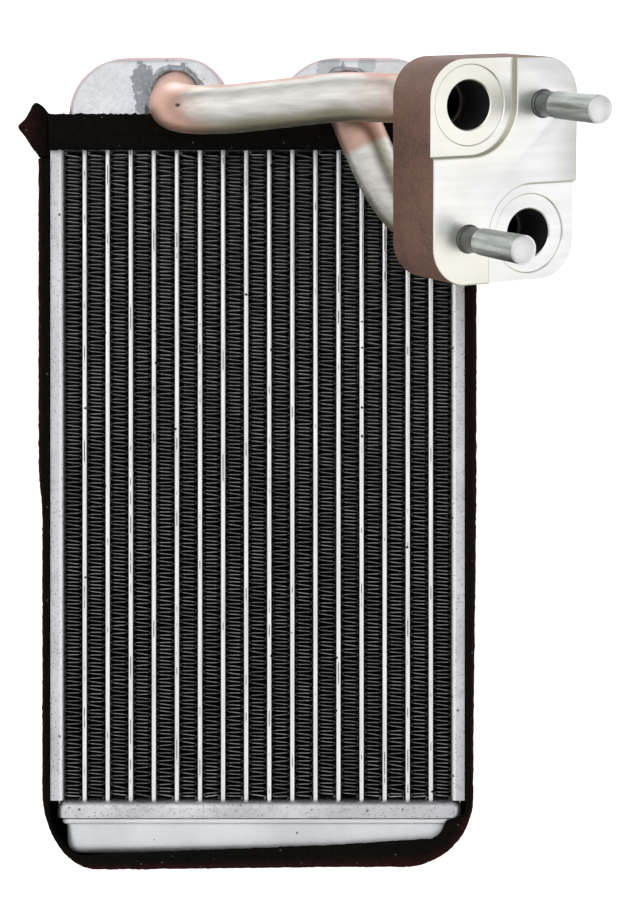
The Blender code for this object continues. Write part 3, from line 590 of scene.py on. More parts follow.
def tube_finish(colours):
    """Bright clad sheet, drawn along the tube, with a seam of dark dashes and pits."""
    finish = Finish("tube_sheet", metallic=1.0)
    drawn = finish.noise(900.0, 3.0, finish.object_space((1.0, 0.04, 1.0)))
    bright = finish.tones(drawn, colours.tube, 0.86, 1.05)
    middle = finish.spread(finish.math("ABSOLUTE", finish.field("across")), 0.08, 0.24, 1.0, 0.0)
    dashes = finish.noise(210.0, 3.0, finish.object_space((1.0, 0.5, 0.2)))
    seam = finish.math("MULTIPLY", middle, finish.spread(dashes, 0.57, 0.63))
    dark = finish.math("MAXIMUM", seam, finish.specks(620.0, 0.02))
    finish.set("Base Color", finish.blend(dark, bright, colours.slit_and_shade))
    finish.rough(finish.noise(90.0, 4.0), 0.30, 0.46)
    finish.bump(drawn, 0.02 * MM, 0.6)
    return finish.material


def fin_finish(colours):
    """Thin foil: dull grey; between the legs, painted shade darkens the sides that face up and
    painted light brightens those that face down.
    """
    finish = Finish("fin_foil", metallic=0.7)
    mottle = finish.noise(160.0, 4.0)
    foil = finish.tones(mottle, colours.fin, 0.6, 1.3, 0.35)
    on_leg = finish.spread(finish.field("leg"), 0.3, 0.9)
    edge = finish.blend(on_leg, toned(colours.fin, 0.4), foil)
    pale = finish.math("MULTIPLY", finish.field("ends"), finish.spread(mottle, 0.4, 0.6, 0.1, 0.8))
    edge = finish.blend(pale, edge, colours.sheet)
    # Behind the front edge the colour is painted light and shade: dark on faces up, lighter on
    # faces down.
    lower = finish.spread(finish.axis("Y", "Normal"), -0.2, -0.8)
    deep = finish.blend(lower, toned(colours.fin, 0.25), colours.fin_side)
    finish.set("Base Color", finish.blend(finish.field("front"), deep, edge))
    finish.rough(mottle, 0.42, 0.58)
    finish.bump(finish.noise(2400.0, 2.0), 0.02 * MM, 0.5)
    return finish.material


def sheet_finish(name, colours, lift=1.0):
    """Clad sheet after brazing: matt grey with grime, dark specks and a painted highlight on the
    rolled bends.
    """
    finish = Finish(name, metallic=1.0)
    grain = finish.noise(1500.0, 4.0)
    skin = finish.tones(finish.noise(60.0, 5.0), colours.sheet, 0.88 * lift, 1.12 * lift)
    grime = finish.spread(finish.noise(420.0, 6.0, rough=0.8), 0.5, 0.66, 0.0, 0.4)
    skin = finish.blend(grime, skin, colours.sheet_speck)
    # Painted highlight: the bend field whitens the sheet next to the rolled bend.
    skin = finish.blend(finish.field("bend"), skin, colours.tube)
    specks = finish.math("MAXIMUM", finish.specks(1500.0, 0.24), finish.specks(620.0, 0.04))
    finish.set("Base Color", finish.blend(specks, skin, colours.sheet_speck))
    finish.rough(grain, 0.38, 0.56)
    finish.bump(grain, 0.03 * MM, 0.6)
    return finish.material


def tank_skin(finish, cloudy, colours, lift=1.0):
    """The colour of stamped sheet: cloudy grey with a few dark specks."""
    skin = finish.tones(cloudy, colours.tank, 0.92 * lift, 1.08 * lift)
    return finish.blend(finish.specks(700.0, 0.02), skin, colours.sheet_speck)


def tank_material(finish, skin, least_rough, most_rough):
    """A tank's material: its colour, and a fine grain that is rough and raised."""
    grain = finish.noise(1100.0, 3.0)
    finish.set("Base Color", skin)
    finish.rough(grain, least_rough, most_rough)
    finish.bump(grain, 0.03 * MM, 0.5)
    return finish.material


def lower_tank_finish(colours):
    """The lower tank's sheet: pale and rather matt."""
    finish = Finish("lower_tank_sheet", metallic=0.8)
    skin = tank_skin(finish, finish.noise(45.0, 5.0), colours, 1.12)
    return tank_material(finish, skin, 0.5, 0.62)


def dome_finish(colours, stains, rim_height):
    """The domes' sheet, with a pink front rim, flux stains and small dark chips.

    A stain is (spot, reach, strength). Above the rim's height the sides of the
    rolled edge are pink, and the stains' edges are made ragged by a noise.
    """
    finish = Finish("dome_sheet", metallic=1.0)
    cloudy = finish.noise(45.0, 5.0)
    skin = tank_skin(finish, cloudy, colours)
    outward = finish.math("ABSOLUTE", finish.axis("Z", "Normal"))
    rim = finish.spread(outward, 0.5, 0.9, 0.95, 0.0)
    in_front = finish.spread(finish.axis("Z"), rim_height - 2.0 * MM, rim_height)
    skin = finish.blend(finish.math("MULTIPLY", rim, in_front), skin, colours.rim_tint)
    ragged = finish.math("MULTIPLY", finish.noise(260.0, 6.0, rough=0.75), 2.4)
    crust = finish.blend(finish.spread(cloudy, 0.4, 0.6), colours.residue, colours.stain)
    for spot, reach, strength in stains:
        near = finish.nearness(spot, reach, reach * 0.2, (1.0, 0.75, 0.3))
        skin = finish.blend(finish.patch(near, ragged, 1.72, 1.86, strength), skin, crust)
    for spot in (colours.left_chip, colours.right_chip):
        near = finish.nearness(CORE + spot, 1.7 * MM, 0.2 * MM, (1.0, 0.45, 0.3))
        skin = finish.blend(finish.patch(near, ragged, 1.6, 2.0, 0.8), skin, colours.slit_and_shade)
    return tank_material(finish, skin, 0.34, 0.50)


def pipe_finish(colours):
    """Drawn pipe: long fine lines, painted olive shade below and a painted pink reflection along
    the top.

    The copper heat tint also covers what the field heated marks, which near the block on the inlet
    also stands in for a painted reflection of the block's brown side. The inlet's elbow has a
    painted pale highlight and a small dark dent, and the inside is painted dark as shade.
    """
    finish = Finish("pipe_drawn", metallic=1.0)
    cloudy = finish.noise(70.0, 4.0)
    lines = finish.noise(600.0, 3.0, finish.object_space((0.12, 1.0, 1.0)))
    skin = finish.tones(lines, colours.pipe, 0.88, 1.08)
    wander = finish.math("MULTIPLY", finish.math("SUBTRACT", cloudy, 0.5), 0.5)
    place_on_round = finish.math("ADD", finish.axis("Y", "Normal"), wander)
    # Painted shade: the underside turns olive dark by the way the surface faces.
    below = finish.spread(place_on_round, -0.3, -0.85, 0.0, 0.8)
    # Painted reflection: a pink band along the top, where the surface faces up and toward the
    # front.
    above = finish.spread(place_on_round, 0.72, 0.98, 0.0, 0.85)
    in_front = finish.spread(finish.axis("Z", "Normal"), -0.35, 0.0)
    warmth = finish.math("ADD", finish.field("heated"), wander)
    skin = finish.blend(below, skin, colours.pipe_shaded_underside)
    skin = finish.blend(finish.math("MULTIPLY", above, in_front), skin, colours.heat_tint_and_top_reflection)
    skin = finish.blend(finish.spread(warmth, 0.25, 0.75, 0.0, 0.85), skin, colours.heat_tint_and_top_reflection)
    # Painted highlight: a pale spot on the inlet's elbow.
    painted_highlight = finish.nearness(CORE + colours.elbow_highlight_spot, 5.0 * MM, 0.5 * MM, (0.8, 1.3, 0.3))
    skin = finish.blend(finish.math("MULTIPLY", painted_highlight, 0.8), skin, colours.elbow_highlight)
    dent = finish.nearness(CORE + colours.dimple, 0.9 * MM, 0.2 * MM, (0.7, 1.0, 0.05))
    skin = finish.blend(dent, skin, colours.slit_and_shade)
    # Painted shade: the inside field darkens the pipe's inner wall.
    skin = finish.blend(finish.field("inside"), skin, colours.slit_and_shade)
    finish.set("Base Color", skin)
    finish.rough(cloudy, 0.36, 0.48)
    finish.bump(lines, 0.02 * MM, 0.5)
    return finish.material


def machined_finish(colours, block, matrix):
    """Milled face: fine straight tool lines, bright, with painted olive-grey shade on its walls.

    A faint cream tint lies round the inlet port and toward the lower left corner.
    """
    finish = Finish("block_milled", metallic=1.0)
    rotation = tuple(matrix.to_euler("XYZ"))
    lines = finish.noise(420.0, 3.0, finish.object_space((0.06, 1.0, 1.0), rotation))
    cloudy = finish.noise(45.0, 4.0)
    # Painted shade: faces that lean away from the face, the pocket and seat walls, turn olive
    # grey.
    walls = finish.spread(finish.axis("Z", "Normal"), 0.84, 0.7)
    skin = finish.tones(lines, colours.block, 0.96, 1.03, 0.35, 0.65)
    dull = finish.spread(cloudy, 0.45, 0.7, 0.0, 0.5)
    skin = finish.blend(dull, skin, toned(colours.block, 0.92))
    inlet = port_places(block)[0]
    corner = (-block.width / 2, -block.height / 2)
    for spot, reach in ((inlet, 26.0 * MM), (corner, 34.0 * MM)):
        near = finish.nearness(matrix @ Vector((*spot, 0.0)), reach, reach * 0.3)
        tint = finish.math("MULTIPLY", near, finish.spread(cloudy, 0.3, 0.6, 0.2, 0.8))
        skin = finish.blend(tint, skin, colours.block_cream)
    finish.set("Base Color", finish.blend(walls, skin, colours.block_wall_shade))
    finish.rough(cloudy, 0.26, 0.38)
    finish.bump(lines, 0.02 * MM, 0.3)
    return finish.material


def bore_shade_finish(colours):
    """The inside of bores and holes: painted shade, nearly black."""
    finish = Finish("bore_dark", metallic=0.3, roughness=0.6)
    low, high = toned(colours.slit_and_shade, 0.5), toned(colours.slit_and_shade, 0.9)
    finish.set("Base Color", finish.blend(finish.noise(500.0, 3.0), low, high))
    return finish.material


def raw_side_finish(colours):
    """Raw drawn side of the block: dull brown with grain and pale scuffs."""
    finish = Finish("block_raw_side", metallic=0.35)
    grain = finish.noise(1500.0, 4.0, rough=0.7)
    skin = finish.tones(finish.noise(80.0, 6.0, rough=0.6), colours.block_side, 0.72, 1.35)
    scuffs = finish.spread(grain, 0.46, 0.62, 0.0, 0.6)
    finish.set("Base Color", finish.blend(scuffs, skin, toned(colours.block_side, 2.2)))
    finish.rough(grain, 0.48, 0.68)
    finish.bump(grain, 0.06 * MM, 0.8)
    return finish.material


def stud_finish(colours, matrix):
    """Zinc plate: grey green with long streaks, painted shade below, in the thread's grooves and
    at its root, and worn bright at the tip.
    """
    finish = Finish("stud_plated", metallic=1.0)
    rotation = tuple(matrix.to_euler("XYZ"))
    streaks = finish.noise(600.0, 3.0, finish.object_space((1.0, 1.0, 0.08), rotation))
    skin = finish.tones(streaks, colours.stud, 0.72, 1.2, 0.35, 0.65)
    # Painted shade: the groove field darkens the thread's grooves and the root, collar and shank.
    skin = finish.blend(finish.field("groove"), skin, toned(colours.stud, 0.2))
    # Painted shade on the side that faces down.
    shade = finish.spread(finish.axis("Y", "Normal"), -0.35, -0.9, 0.0, 0.8)
    skin = finish.blend(shade, skin, toned(colours.stud, 0.22))
    finish.set("Base Color", finish.blend(finish.field("tip"), skin, toned(colours.block, 0.9)))
    finish.rough(finish.noise(220.0, 4.0), 0.28, 0.44)
    finish.bump(finish.noise(1800.0, 3.0), 0.02 * MM, 0.5)
    return finish.material


def residue_finish(colours):
    """Braze and flux: dull grey crust with pale and dark grains."""
    finish = Finish("braze_crust", metallic=0.55, roughness=0.6)
    grain = finish.noise(750.0, 5.0, rough=0.7)
    finish.set("Base Color", finish.tones(grain, colours.residue, 1.0, 2.0, 0.35, 0.65))
    finish.bump(grain, 0.25 * MM, 0.9)
    return finish.material


def foam_finish(colours):
    """Black open foam: fine pores, a few pale dust specks, brown where it was cut."""
    finish = Finish("foam_tape", roughness=0.95)
    pores = finish.noise(1500.0, 4.0, rough=0.75)
    skin = finish.tones(pores, colours.foam, 1.0, 2.2, 0.35, 0.75)
    fibres = finish.spread(finish.noise(420.0, 4.0, rough=0.7), 0.3, 0.6, 0.3, 1.0)
    cut = finish.math("MULTIPLY", finish.field("edge"), fibres)
    skin = finish.blend(cut, skin, colours.foam_edge)
    dust = finish.math("MULTIPLY", finish.specks(900.0, 0.025), 0.3)
    finish.set("Base Color", finish.blend(dust, skin, colours.sheet_speck))
    finish.bump(pores, 0.35 * MM, 0.9)
    finish.shader.inputs["Specular IOR Level"].default_value = 0.02
    return finish.material


# Derived places


def half_width(sizes):
    """From the core's middle to the outer side of its outer fins."""
    first = (sizes.tube_count - 1) / 2 * sizes.tube_pitch
    return first + sizes.tube_pitch - sizes.tube_thickness / 2


def places_across(count, pitch):
    """Places in a row that is centred on the core."""
    first = -(count - 1) / 2 * pitch
    return [first + index * pitch for index in range(count)]


def tank_depth(sizes, tanks):
    """Depth of the tanks, which close round the tubes."""
    return sizes.tube_depth + 2 * (sizes.clearance + tanks.wall)


def header_depth(sizes, tanks):
    """Depth of the header trays, which close round the tanks."""
    return tank_depth(sizes, tanks) + 2 * (sizes.clearance + sizes.header_sheet)


def foot_half(sizes):
    """Half the length of the tanks' feet."""
    return half_width(sizes) + sizes.header_overhang - sizes.header_sheet - sizes.clearance


def pipe_origin(sizes, tanks):
    """The pipe frame: the upper header's face, at the front of the tanks."""
    return CORE + [0.0, sizes.core_height / 2, tank_depth(sizes, tanks) / 2]


def block_matrix(sizes, tanks, block):
    """From the block's own frame, at its face's middle, to the part's."""
    spin = (
        Matrix.Rotation(block.yaw, 4, "Y")
        @ Matrix.Rotation(block.pitch, 4, "X")
        @ Matrix.Rotation(block.roll, 4, "Z")
    )
    centre = Vector(pipe_origin(sizes, tanks)) + Vector(block.centre)
    return Matrix.Translation(centre) @ spin


def port_places(block):
    """Where the two ports are on the block's face: inlet, then outlet."""
    inlet = (block.inlet_port[0] - block.width / 2, block.height / 2 - block.inlet_port[1])
    outlet = (block.width / 2 - block.outlet_port[0], block.outlet_port[1] - block.height / 2)
    return inlet, outlet


def stud_places(block):
    """Where the two studs are on the block's face: upper, then lower."""
    across = block.width / 2 - block.stud_edges[0]
    up = block.height / 2 - block.stud_edges[1]
    return (across, up), (-across, -up)


def joint_places(sizes, tanks, pipes):
    """Where the two pipes leave their tanks, in the part's frame."""
    origin = pipe_origin(sizes, tanks)
    foot = foot_half(sizes)
    lefts = (-foot + tanks.inlet_inset, tanks.foot_gap / 2 + tanks.outlet_inset)
    joints = (pipes.inlet_joint, pipes.outlet_joint)
    return [origin + [left + joint[0], joint[1], 0.0] for left, joint in zip(lefts, joints)]


def stub_direction(pipes):
    """Both pipes leave their tanks forward and a little downward."""
    return np.array([0.0, -sin(pipes.tilt), cos(pipes.tilt)])


# Tubes and fins


NOSE_POWER = 2.6

# The fins' turns wander, in leg pitches: slow waves of a length, and random steps that
# are larger in the last turns at both ends.
FIN_DRIFT, FIN_DRIFT_LENGTH = 0.35, 9.0
FIN_STEP, FIN_CRUMPLE, FIN_CRUMPLED_TURNS = 0.06, 2.5, 1.5

# The louvres, from the front to the back: place in half depths, offset in leg pitches.
LOUVRES = (
    (1.0, 0.0),
    (0.95, 0.0),
    (0.72, -0.34),
    (0.4, 0.30),
    (0.0, -0.30),
    (-0.45, 0.34),
    (-1.0, 0.0),
)


def flat_tube_outline(half_depth, radius, steps):
    """Points round a flat tube: x = r cos t, and each nose is a flattened arch.

    The nose rises by r (1 - |cos t|^p)^(1/p) from where the flats end, p being the
    nose power.
    """
    t = arc(0.0, pi, steps)
    rise = radius * (1 - np.abs(np.cos(t)) ** NOSE_POWER) ** (1 / NOSE_POWER)
    front = np.stack([radius * np.cos(t), half_depth - radius + rise], axis=1)
    return np.concatenate([front, -front])


def tube_grid(sizes, x):
    """A hollow tube: its outline carried along Y, out on the outer wall and back inside."""
    nose_steps, points_along = 12, 7
    half = sizes.core_height / 2 + sizes.tube_reach
    along = np.linspace(-half, half, points_along)
    half_depth, radius = sizes.tube_depth / 2, sizes.tube_thickness / 2
    rows, across = [], []
    for inset, places in ((0.0, along), (sizes.tube_wall, along[::-1])):
        line = flat_tube_outline(half_depth - inset, radius - inset, nose_steps)
        for y in places:
            rows.append(np.column_stack([x + line[:, 0], np.full(len(line), y), line[:, 1]]))
            across.append(line[:, 0])
    return np.array(rows) + CORE, np.array(across) / radius


class HEATERCORE_OT_tubes(bpy.types.Operator):
    """Add the flat tubes, with flattened noses and a seam"""

    bl_idname = "heater_core.tubes"
    bl_label = "Tubes"

    def execute(self, context):
        sizes, colours = groups_of(context, "sizes", "finishes")
        finish = tube_finish(colours)
        for index, x in enumerate(places_across(sizes.tube_count, sizes.tube_pitch)):
            name = f"tube_{index + 1:02d}"
            grid, across = tube_grid(sizes, x)
            mesh = grid_mesh(name + "_skin", grid, wrap_rows=True, fields={"across": across})
            add_piece(name + "_skin", mesh, [finish], [name])
        return {"FINISHED"}


def fin_path(sizes, seed):
    """The fold line of one strip: straight legs joined by U-turns at the tubes.

    Legs that run to the left climb by a share of the pitch and the others stay
    level; a half circle leads from each leg to the next. Slow waves and small
    random steps move the turns along, the last turns are crumpled, and no turn
    leaves the span. It returns the points and how much each belongs to a leg.
    """
    random = np.random.default_rng(seed)
    height = sizes.tube_pitch - sizes.tube_thickness - 2 * sizes.clearance
    span = sizes.core_height - 2 * sizes.clearance - sizes.fin_foil
    turns = int(span / sizes.fin_leg_pitch) // 2 * 2
    pitch = span / turns
    climb = sizes.fin_climb * pitch
    radius = (2 * pitch - climb) / 4
    reach = height / 2 - sizes.fin_foil / 2 - radius
    number = np.arange(turns)
    right = number % 2 == 0
    start = (number // 2) * 2 * pitch + np.where(right, 0.0, 2 * radius + climb)
    drift = FIN_DRIFT * np.sin(start / pitch / FIN_DRIFT_LENGTH + random.uniform(0, 2 * pi))
    from_end = np.minimum(number, turns - 1 - number)
    crumple = 1 + FIN_CRUMPLE * np.exp(-from_end / FIN_CRUMPLED_TURNS)
    start = start + (drift + random.normal(0.0, FIN_STEP, turns) * crumple) * pitch
    start = np.clip(start, 0.0, span - 2 * radius)
    around = arc(-pi / 2, pi / 2, 3)[None, :]
    x = np.where(right, 1.0, -1.0)[:, None] * (reach + radius * np.cos(around))
    y = start[:, None] + radius + radius * np.sin(around) - span / 2
    turn = np.stack([x, y], axis=-1)
    leg_start = 0.14
    on_leg = np.array([leg_start, 1 - leg_start])[None, :, None]
    legs = turn[:-1, -1:] * (1 - on_leg) + turn[1:, :1] * on_leg
    line = np.concatenate([turn[:-1], legs], axis=1).reshape(-1, 2)
    line = np.concatenate([line, turn[-1]])
    leg = np.tile([0.0, 0.0, 0.0, 0.0, 1.0, 1.0], turns - 1)
    return line, np.concatenate([leg, np.zeros(4)])


def fin_grid(sizes, x, seed):
    """A strip of foil: the fold line carried through the depth, with louvre steps.

    Its thickness goes to both sides of the line, along the line's normal, and the
    rolled front edge is thicker on the legs. At each depth the legs are moved along
    Y by a louvre offset, so that no straight way leads through. The fields mark the
    front edge, the legs, and the strip's last millimetres at both ends.
    """
    path, leg = fin_path(sizes, seed)
    along = np.gradient(path, axis=0)
    normal = np.column_stack([-along[:, 1], along[:, 0]])
    normal /= np.maximum(np.linalg.norm(normal, axis=1, keepdims=True), 1e-9)
    thick = (sizes.fin_foil + leg * (sizes.fin_edge - sizes.fin_foil))[:, None] / 2
    half = sizes.tube_depth / 2 - sizes.fin_setback
    depths, offsets = np.array(LOUVRES).T * [[half], [sizes.fin_leg_pitch]]
    rows = []
    for side, order in ((1.0, slice(None)), (-1.0, slice(None, None, -1))):
        points = path + side * normal * thick
        for depth, offset in zip(depths[order], offsets[order]):
            y = points[:, 1] + offset * leg
            rows.append(np.column_stack([points[:, 0] + x, y, np.full(len(y), depth)]))
    end_length, end_fade = 2.4 * MM, 1.5 * MM
    front = ramp_up(np.concatenate([depths, depths[::-1]]) / half, 0.9, 0.07)
    ends = ramp_up(np.abs(path[:, 1]), sizes.core_height / 2 - end_length, end_fade)
    fields = {"front": front[:, None], "leg": leg[None, :], "ends": ends[None, :]}
    return np.array(rows) + CORE, fields


def fin_mesh(name, grid, fields):
    """The strip's grid, wrapped round through its depth, with its two ends closed."""
    rows, columns = grid.shape[:2]
    points = grid.reshape(-1, 3)
    faces = grid_quads(rows, columns, wrap_rows=True)
    steps = np.arange(rows // 2 - 1)
    for column in (0, columns - 1):
        near, far = steps * columns + column, (rows - 1 - steps) * columns + column
        end = np.stack([near, near + columns, far - columns, far], axis=1)
        faces = np.concatenate([faces, end if column == 0 else end[:, ::-1]])
    if signed_volume(points - points.mean(axis=0), faces) < 0:
        faces = faces[:, ::-1]
    return mesh_of(name, points, faces.tolist(), fields, (rows, columns))


class HEATERCORE_OT_fins(bpy.types.Operator):
    """Add the folded fin strips"""

    bl_idname = "heater_core.fins"
    bl_label = "Fins"

    def execute(self, context):
        sizes, colours = groups_of(context, "sizes", "finishes")
        finish = fin_finish(colours)
        for index, x in enumerate(places_across(sizes.tube_count + 1, sizes.tube_pitch)):
            name = f"fin_{index + 1:02d}"
            mesh = fin_mesh(name + "_foil", *fin_grid(sizes, x, index))
            add_piece(name + "_foil", mesh, [finish], [name], 50.0)
        return {"FINISHED"}


# Plates


def channel_outline(sizes):
    """Round a channel's section (x, z): outer face, rolled bends, then the inner face.

    Each bend is a quarter circle; the flanges stand toward +x.
    """
    half, reach, sheet = sizes.side_depth / 2, sizes.side_flange, sizes.side_sheet
    bend = 1.4 * sheet
    down, back = arc(pi / 2, pi, 6), arc(pi, 3 * pi / 2, 6)
    faces = []
    for radius, end in ((bend, half), (bend - sheet, half - sheet)):
        x = [[reach], bend + radius * np.cos(down), bend + radius * np.cos(back), [reach]]
        z = [half - bend + radius * np.sin(down), bend - half + radius * np.sin(back)]
        faces.append((np.concatenate(x), np.concatenate([[end], *z, [-end]])))
    (outer_x, outer_z), (inner_x, inner_z) = faces
    return np.concatenate([outer_x, inner_x[::-1]]), np.concatenate([outer_z, inner_z[::-1]])


class HEATERCORE_OT_side_plates(bpy.types.Operator):
    """Add the rolled channels beside the outer fins"""

    bl_idname = "heater_core.side_plates"
    bl_label = "Side Plates"

    def execute(self, context):
        sizes, colours = groups_of(context, "sizes", "finishes")
        finish = sheet_finish("side_sheet", colours)
        ripple_height, ripple_turns, points_along = 0.05 * MM, 95.0, 60
        bend_highlight_end, bend_highlight_fade = 1.5 * MM, 0.5 * MM
        x, z = channel_outline(sizes)
        reach = sizes.core_height / 2 - sizes.clearance
        along = np.linspace(-reach, reach, points_along)
        for name, side in (("side_plate_left", -1.0), ("side_plate_right", 1.0)):
            ripple = ripple_height * np.sin(along * ripple_turns + side)
            grid = np.empty((len(along), len(x), 3))
            grid[..., 0] = side * (half_width(sizes) + x[None, :])
            grid[..., 1] = along[:, None]
            grid[..., 2] = z[None, :] - np.abs(ripple)[:, None] * np.sign(z)[None, :]
            # The bend field marks where the painted highlight of the rolled bend lies.
            bend = ramp_down(x, bend_highlight_end, bend_highlight_fade)[None, :]
            mesh = grid_mesh(name + "_sheet", grid + CORE, capped=True, fields={"bend": bend})
            add_piece(name + "_sheet", mesh, [finish], [name])
        return {"FINISHED"}


def ring_rows(side, sizes, rise, left, right, half, corner, steps=6):
    """Rings of a rounded rectangle at heights above the core's end.

    Each corner is a quarter circle about (side - corner, half - corner). Every
    argument but side and steps may be one number for each ring.
    """
    rise, left, right, half, corner = np.broadcast_arrays(
        *(np.atleast_1d(value).astype(float) for value in (rise, left, right, half, corner))
    )
    turns = np.arange(4)[:, None] * pi / 2 + arc(0.0, pi / 2, steps)[None, :]
    east = np.array([1, -1, -1, 1])[None, :, None]
    face = np.array([1, 1, -1, -1])[None, :, None]
    left, right, half, corner = (value[:, None, None] for value in (left, right, half, corner))
    middle = np.where(east > 0, right - corner, left + corner)
    x = (middle + corner * np.cos(turns)).reshape(len(rise), -1)
    z = (face * (half - corner) + corner * np.sin(turns)).reshape(len(rise), -1)
    y = side * (sizes.core_height / 2 + rise)[:, None] + np.zeros_like(x)
    return np.stack([x, y, z], axis=-1)


def tray_rings(sizes, tanks, side, inset):
    """A header tray from its rim to its flat face; the fold is a quarter circle."""
    fold, corner = 2.0 * MM - inset, 3.0 * MM - inset
    end = half_width(sizes) + sizes.header_overhang - inset
    more = sizes.header_right if side < 0 else 0.0
    half = header_depth(sizes, tanks) / 2 - inset
    t = arc(0.0, pi / 2, 6)
    rise = np.concatenate([[sizes.header_wall], inset + fold - fold * np.sin(t)])
    narrow = np.concatenate([[0.0], fold - fold * np.cos(t)])
    right = end + more - narrow
    return ring_rows(side, sizes, rise, narrow - end, right, half - narrow, corner)


def slot_shape(sizes, side, x):
    """A prism a clearance larger than one tube, through a header's face."""
    gap, through = sizes.clearance, 3.0 * MM
    outline = flat_tube_outline(sizes.tube_depth / 2 + gap, sizes.tube_thickness / 2 + gap, 6)
    grid = np.empty((2, len(outline), 3))
    grid[..., 0] = x + outline[None, :, 0]
    grid[..., 1] = side * (sizes.core_height / 2 + np.array([-through, through]))[:, None]
    grid[..., 2] = outline[None, :, 1]
    return grid_mesh("slot", grid + CORE, capped=True)


class HEATERCORE_OT_header_plates(bpy.types.Operator):
    """Add the header trays, with a slot for each tube"""

    bl_idname = "heater_core.header_plates"
    bl_label = "Header Plates"

    def execute(self, context):
        sizes, tanks, colours = groups_of(context, "sizes", "tanks", "finishes")
        finish = sheet_finish("header_sheet", colours, 1.05)
        places = places_across(sizes.tube_count, sizes.tube_pitch)
        for name, side in (("upper_header_plate", 1), ("lower_header_plate", -1)):
            outer = tray_rings(sizes, tanks, side, 0.0)
            inner = tray_rings(sizes, tanks, side, sizes.header_sheet)
            grid = np.concatenate([inner[::-1], outer]) + CORE
            slots = [slot_shape(sizes, side, x) for x in places]
            mesh = carved(name + "_tray", grid_mesh(name, grid, capped=True), slots)
            add_piece(name + "_tray", mesh, [finish], [name])
        return {"FINISHED"}


# Tanks


def foot_rings(sizes, tanks, side, ends, inset):
    """A tank's foot, then its bead, which stands out all round.

    The bead's height over t is stand (sin pi (a + (1 - a) t))^b: steep below, and
    rounded above. The inside of the wall, with an inset, runs straight past it.
    """
    foot_left, foot_right, left, right = ends
    half = tank_depth(sizes, tanks) / 2
    start = sizes.header_sheet + sizes.clearance
    bead = sizes.header_wall + sizes.clearance
    corner = tanks.corner - inset
    step, seam = 0.3 * MM, 0.05 * MM
    if inset:
        rise = np.array([start, bead - inset, bead - inset + step])
        lefts = np.array([foot_left, foot_left, left]) + inset
        rights = np.array([foot_right, foot_right, right]) - inset
        return ring_rows(side, sizes, rise, lefts, rights, half - inset, corner)
    t = arc(0.0, 1.0, 8)
    begin, power = 0.12, 0.35
    stand = tanks.bead_stand * np.sin(pi * (begin + (1 - begin) * t)) ** power
    rise = np.concatenate([[start, bead - seam], bead + t * tanks.bead_height])
    lefts = np.concatenate([[foot_left] * 2, np.maximum(foot_left, left - stand)])
    rights = np.concatenate([[foot_right] * 2, np.minimum(foot_right, right + stand)])
    halves = np.concatenate([[half] * 2, half + stand])
    return ring_rows(side, sizes, rise, lefts, rights, halves, corner)


def lower_body_rings(sizes, tanks, inset):
    """The lower tank's arch: (|cos t|, |sin t|) to the power of 2 / fullness.

    Near the top the ends draw in along a smaller quarter circle.
    """
    rise = tanks.lower_round - inset
    t = arc(0.0, pi / 2, 20)
    power = 2 / tanks.lower_fullness
    drop = rise * np.sin(t) ** power
    ends = []
    for end in (tanks.lower_end - inset, tanks.lower_end_right - inset):
        late = np.clip(drop - rise + end, 0.0, end)
        straight = foot_half(sizes) - tanks.lower_inset - inset - end
        ends.append(straight + np.sqrt(end**2 - late**2))
    depth = tank_depth(sizes, tanks) / 2 - inset - rise * (1 - np.abs(np.cos(t)) ** power)
    rounder = 1.6
    corner = np.minimum(tanks.corner * rounder - inset, depth / 2)
    heights = tanks.lower_height - tanks.lower_round + drop
    return ring_rows(-1, sizes, heights, -ends[0], ends[1], depth, corner)


def dome_rings(sizes, tanks, left, inset):
    """A dome: each shoulder is a quarter ellipse, and the rim a quarter circle."""
    top_left = left + tanks.long_slope
    top_right = left + tanks.upper_width - tanks.short_slope
    rise = tanks.upper_shoulder - inset
    rim = tanks.upper_rim - inset
    t = arc(0.0, pi / 2, 20)
    height = rise * np.sin(t)
    late = np.clip(height - rise + rim, 0.0, rim)
    west = top_left - (tanks.long_slope - inset) * np.cos(t)
    east = top_right + (tanks.short_slope - inset) * np.cos(t)
    half = tank_depth(sizes, tanks) / 2 - inset - rim + np.sqrt(rim**2 - late**2)
    heights = tanks.upper_height - tanks.upper_shoulder + height
    return ring_rows(1, sizes, heights, west, east, half, rim)


def shell_mesh(name, outer, inner):
    """Two lofts joined at the foot, with their tops closed: a wall with a hollow.

    Each loft is a list of ring stacks, from the foot up.
    """
    rings = np.concatenate([np.concatenate(inner)[::-1], np.concatenate(outer)])
    return grid_mesh(name, rings + CORE, capped=True)


class HEATERCORE_OT_lower_tank(bpy.types.Operator):
    """Add the lower tank, with its bead"""

    bl_idname = "heater_core.lower_tank"
    bl_label = "Lower Tank"

    def execute(self, context):
        sizes, tanks, colours = groups_of(context, "sizes", "tanks", "finishes")
        foot = foot_half(sizes)
        ends = (-foot, foot, tanks.lower_inset - foot, foot - tanks.lower_inset)
        lofts = [
            (foot_rings(sizes, tanks, -1, ends, inset), lower_body_rings(sizes, tanks, inset))
            for inset in (0.0, tanks.wall)
        ]
        mesh = shell_mesh("lower_tank_shell", *lofts)
        finish = lower_tank_finish(colours)
        add_piece("lower_tank_shell", mesh, [finish], ["lower_tank"], 35.0)
        return {"FINISHED"}


def stub_shape(pipes, joint):
    """A cylinder a little wider than a pipe's stub, which cuts the tank's hole."""
    play, sides = 0.3 * MM, 48
    line = stub_direction(pipes)
    ends = np.array([joint - line * pipes.radius, joint + line * 4 * pipes.radius])
    return grid_mesh("stub", pipe_rings(ends, pipes.radius + play, sides), capped=True)


# The flux stains on the domes: the place's name, how far it reaches and its strength.
STAINS = (
    ("ring_stain", 12.5 * MM, 0.85),
    ("left_stain", 6.5 * MM, 0.9),
    ("left_stain_low", 5.5 * MM, 0.9),
    ("right_stain", 6.5 * MM, 0.5),
    ("far_stain", 4.5 * MM, 0.4),
)


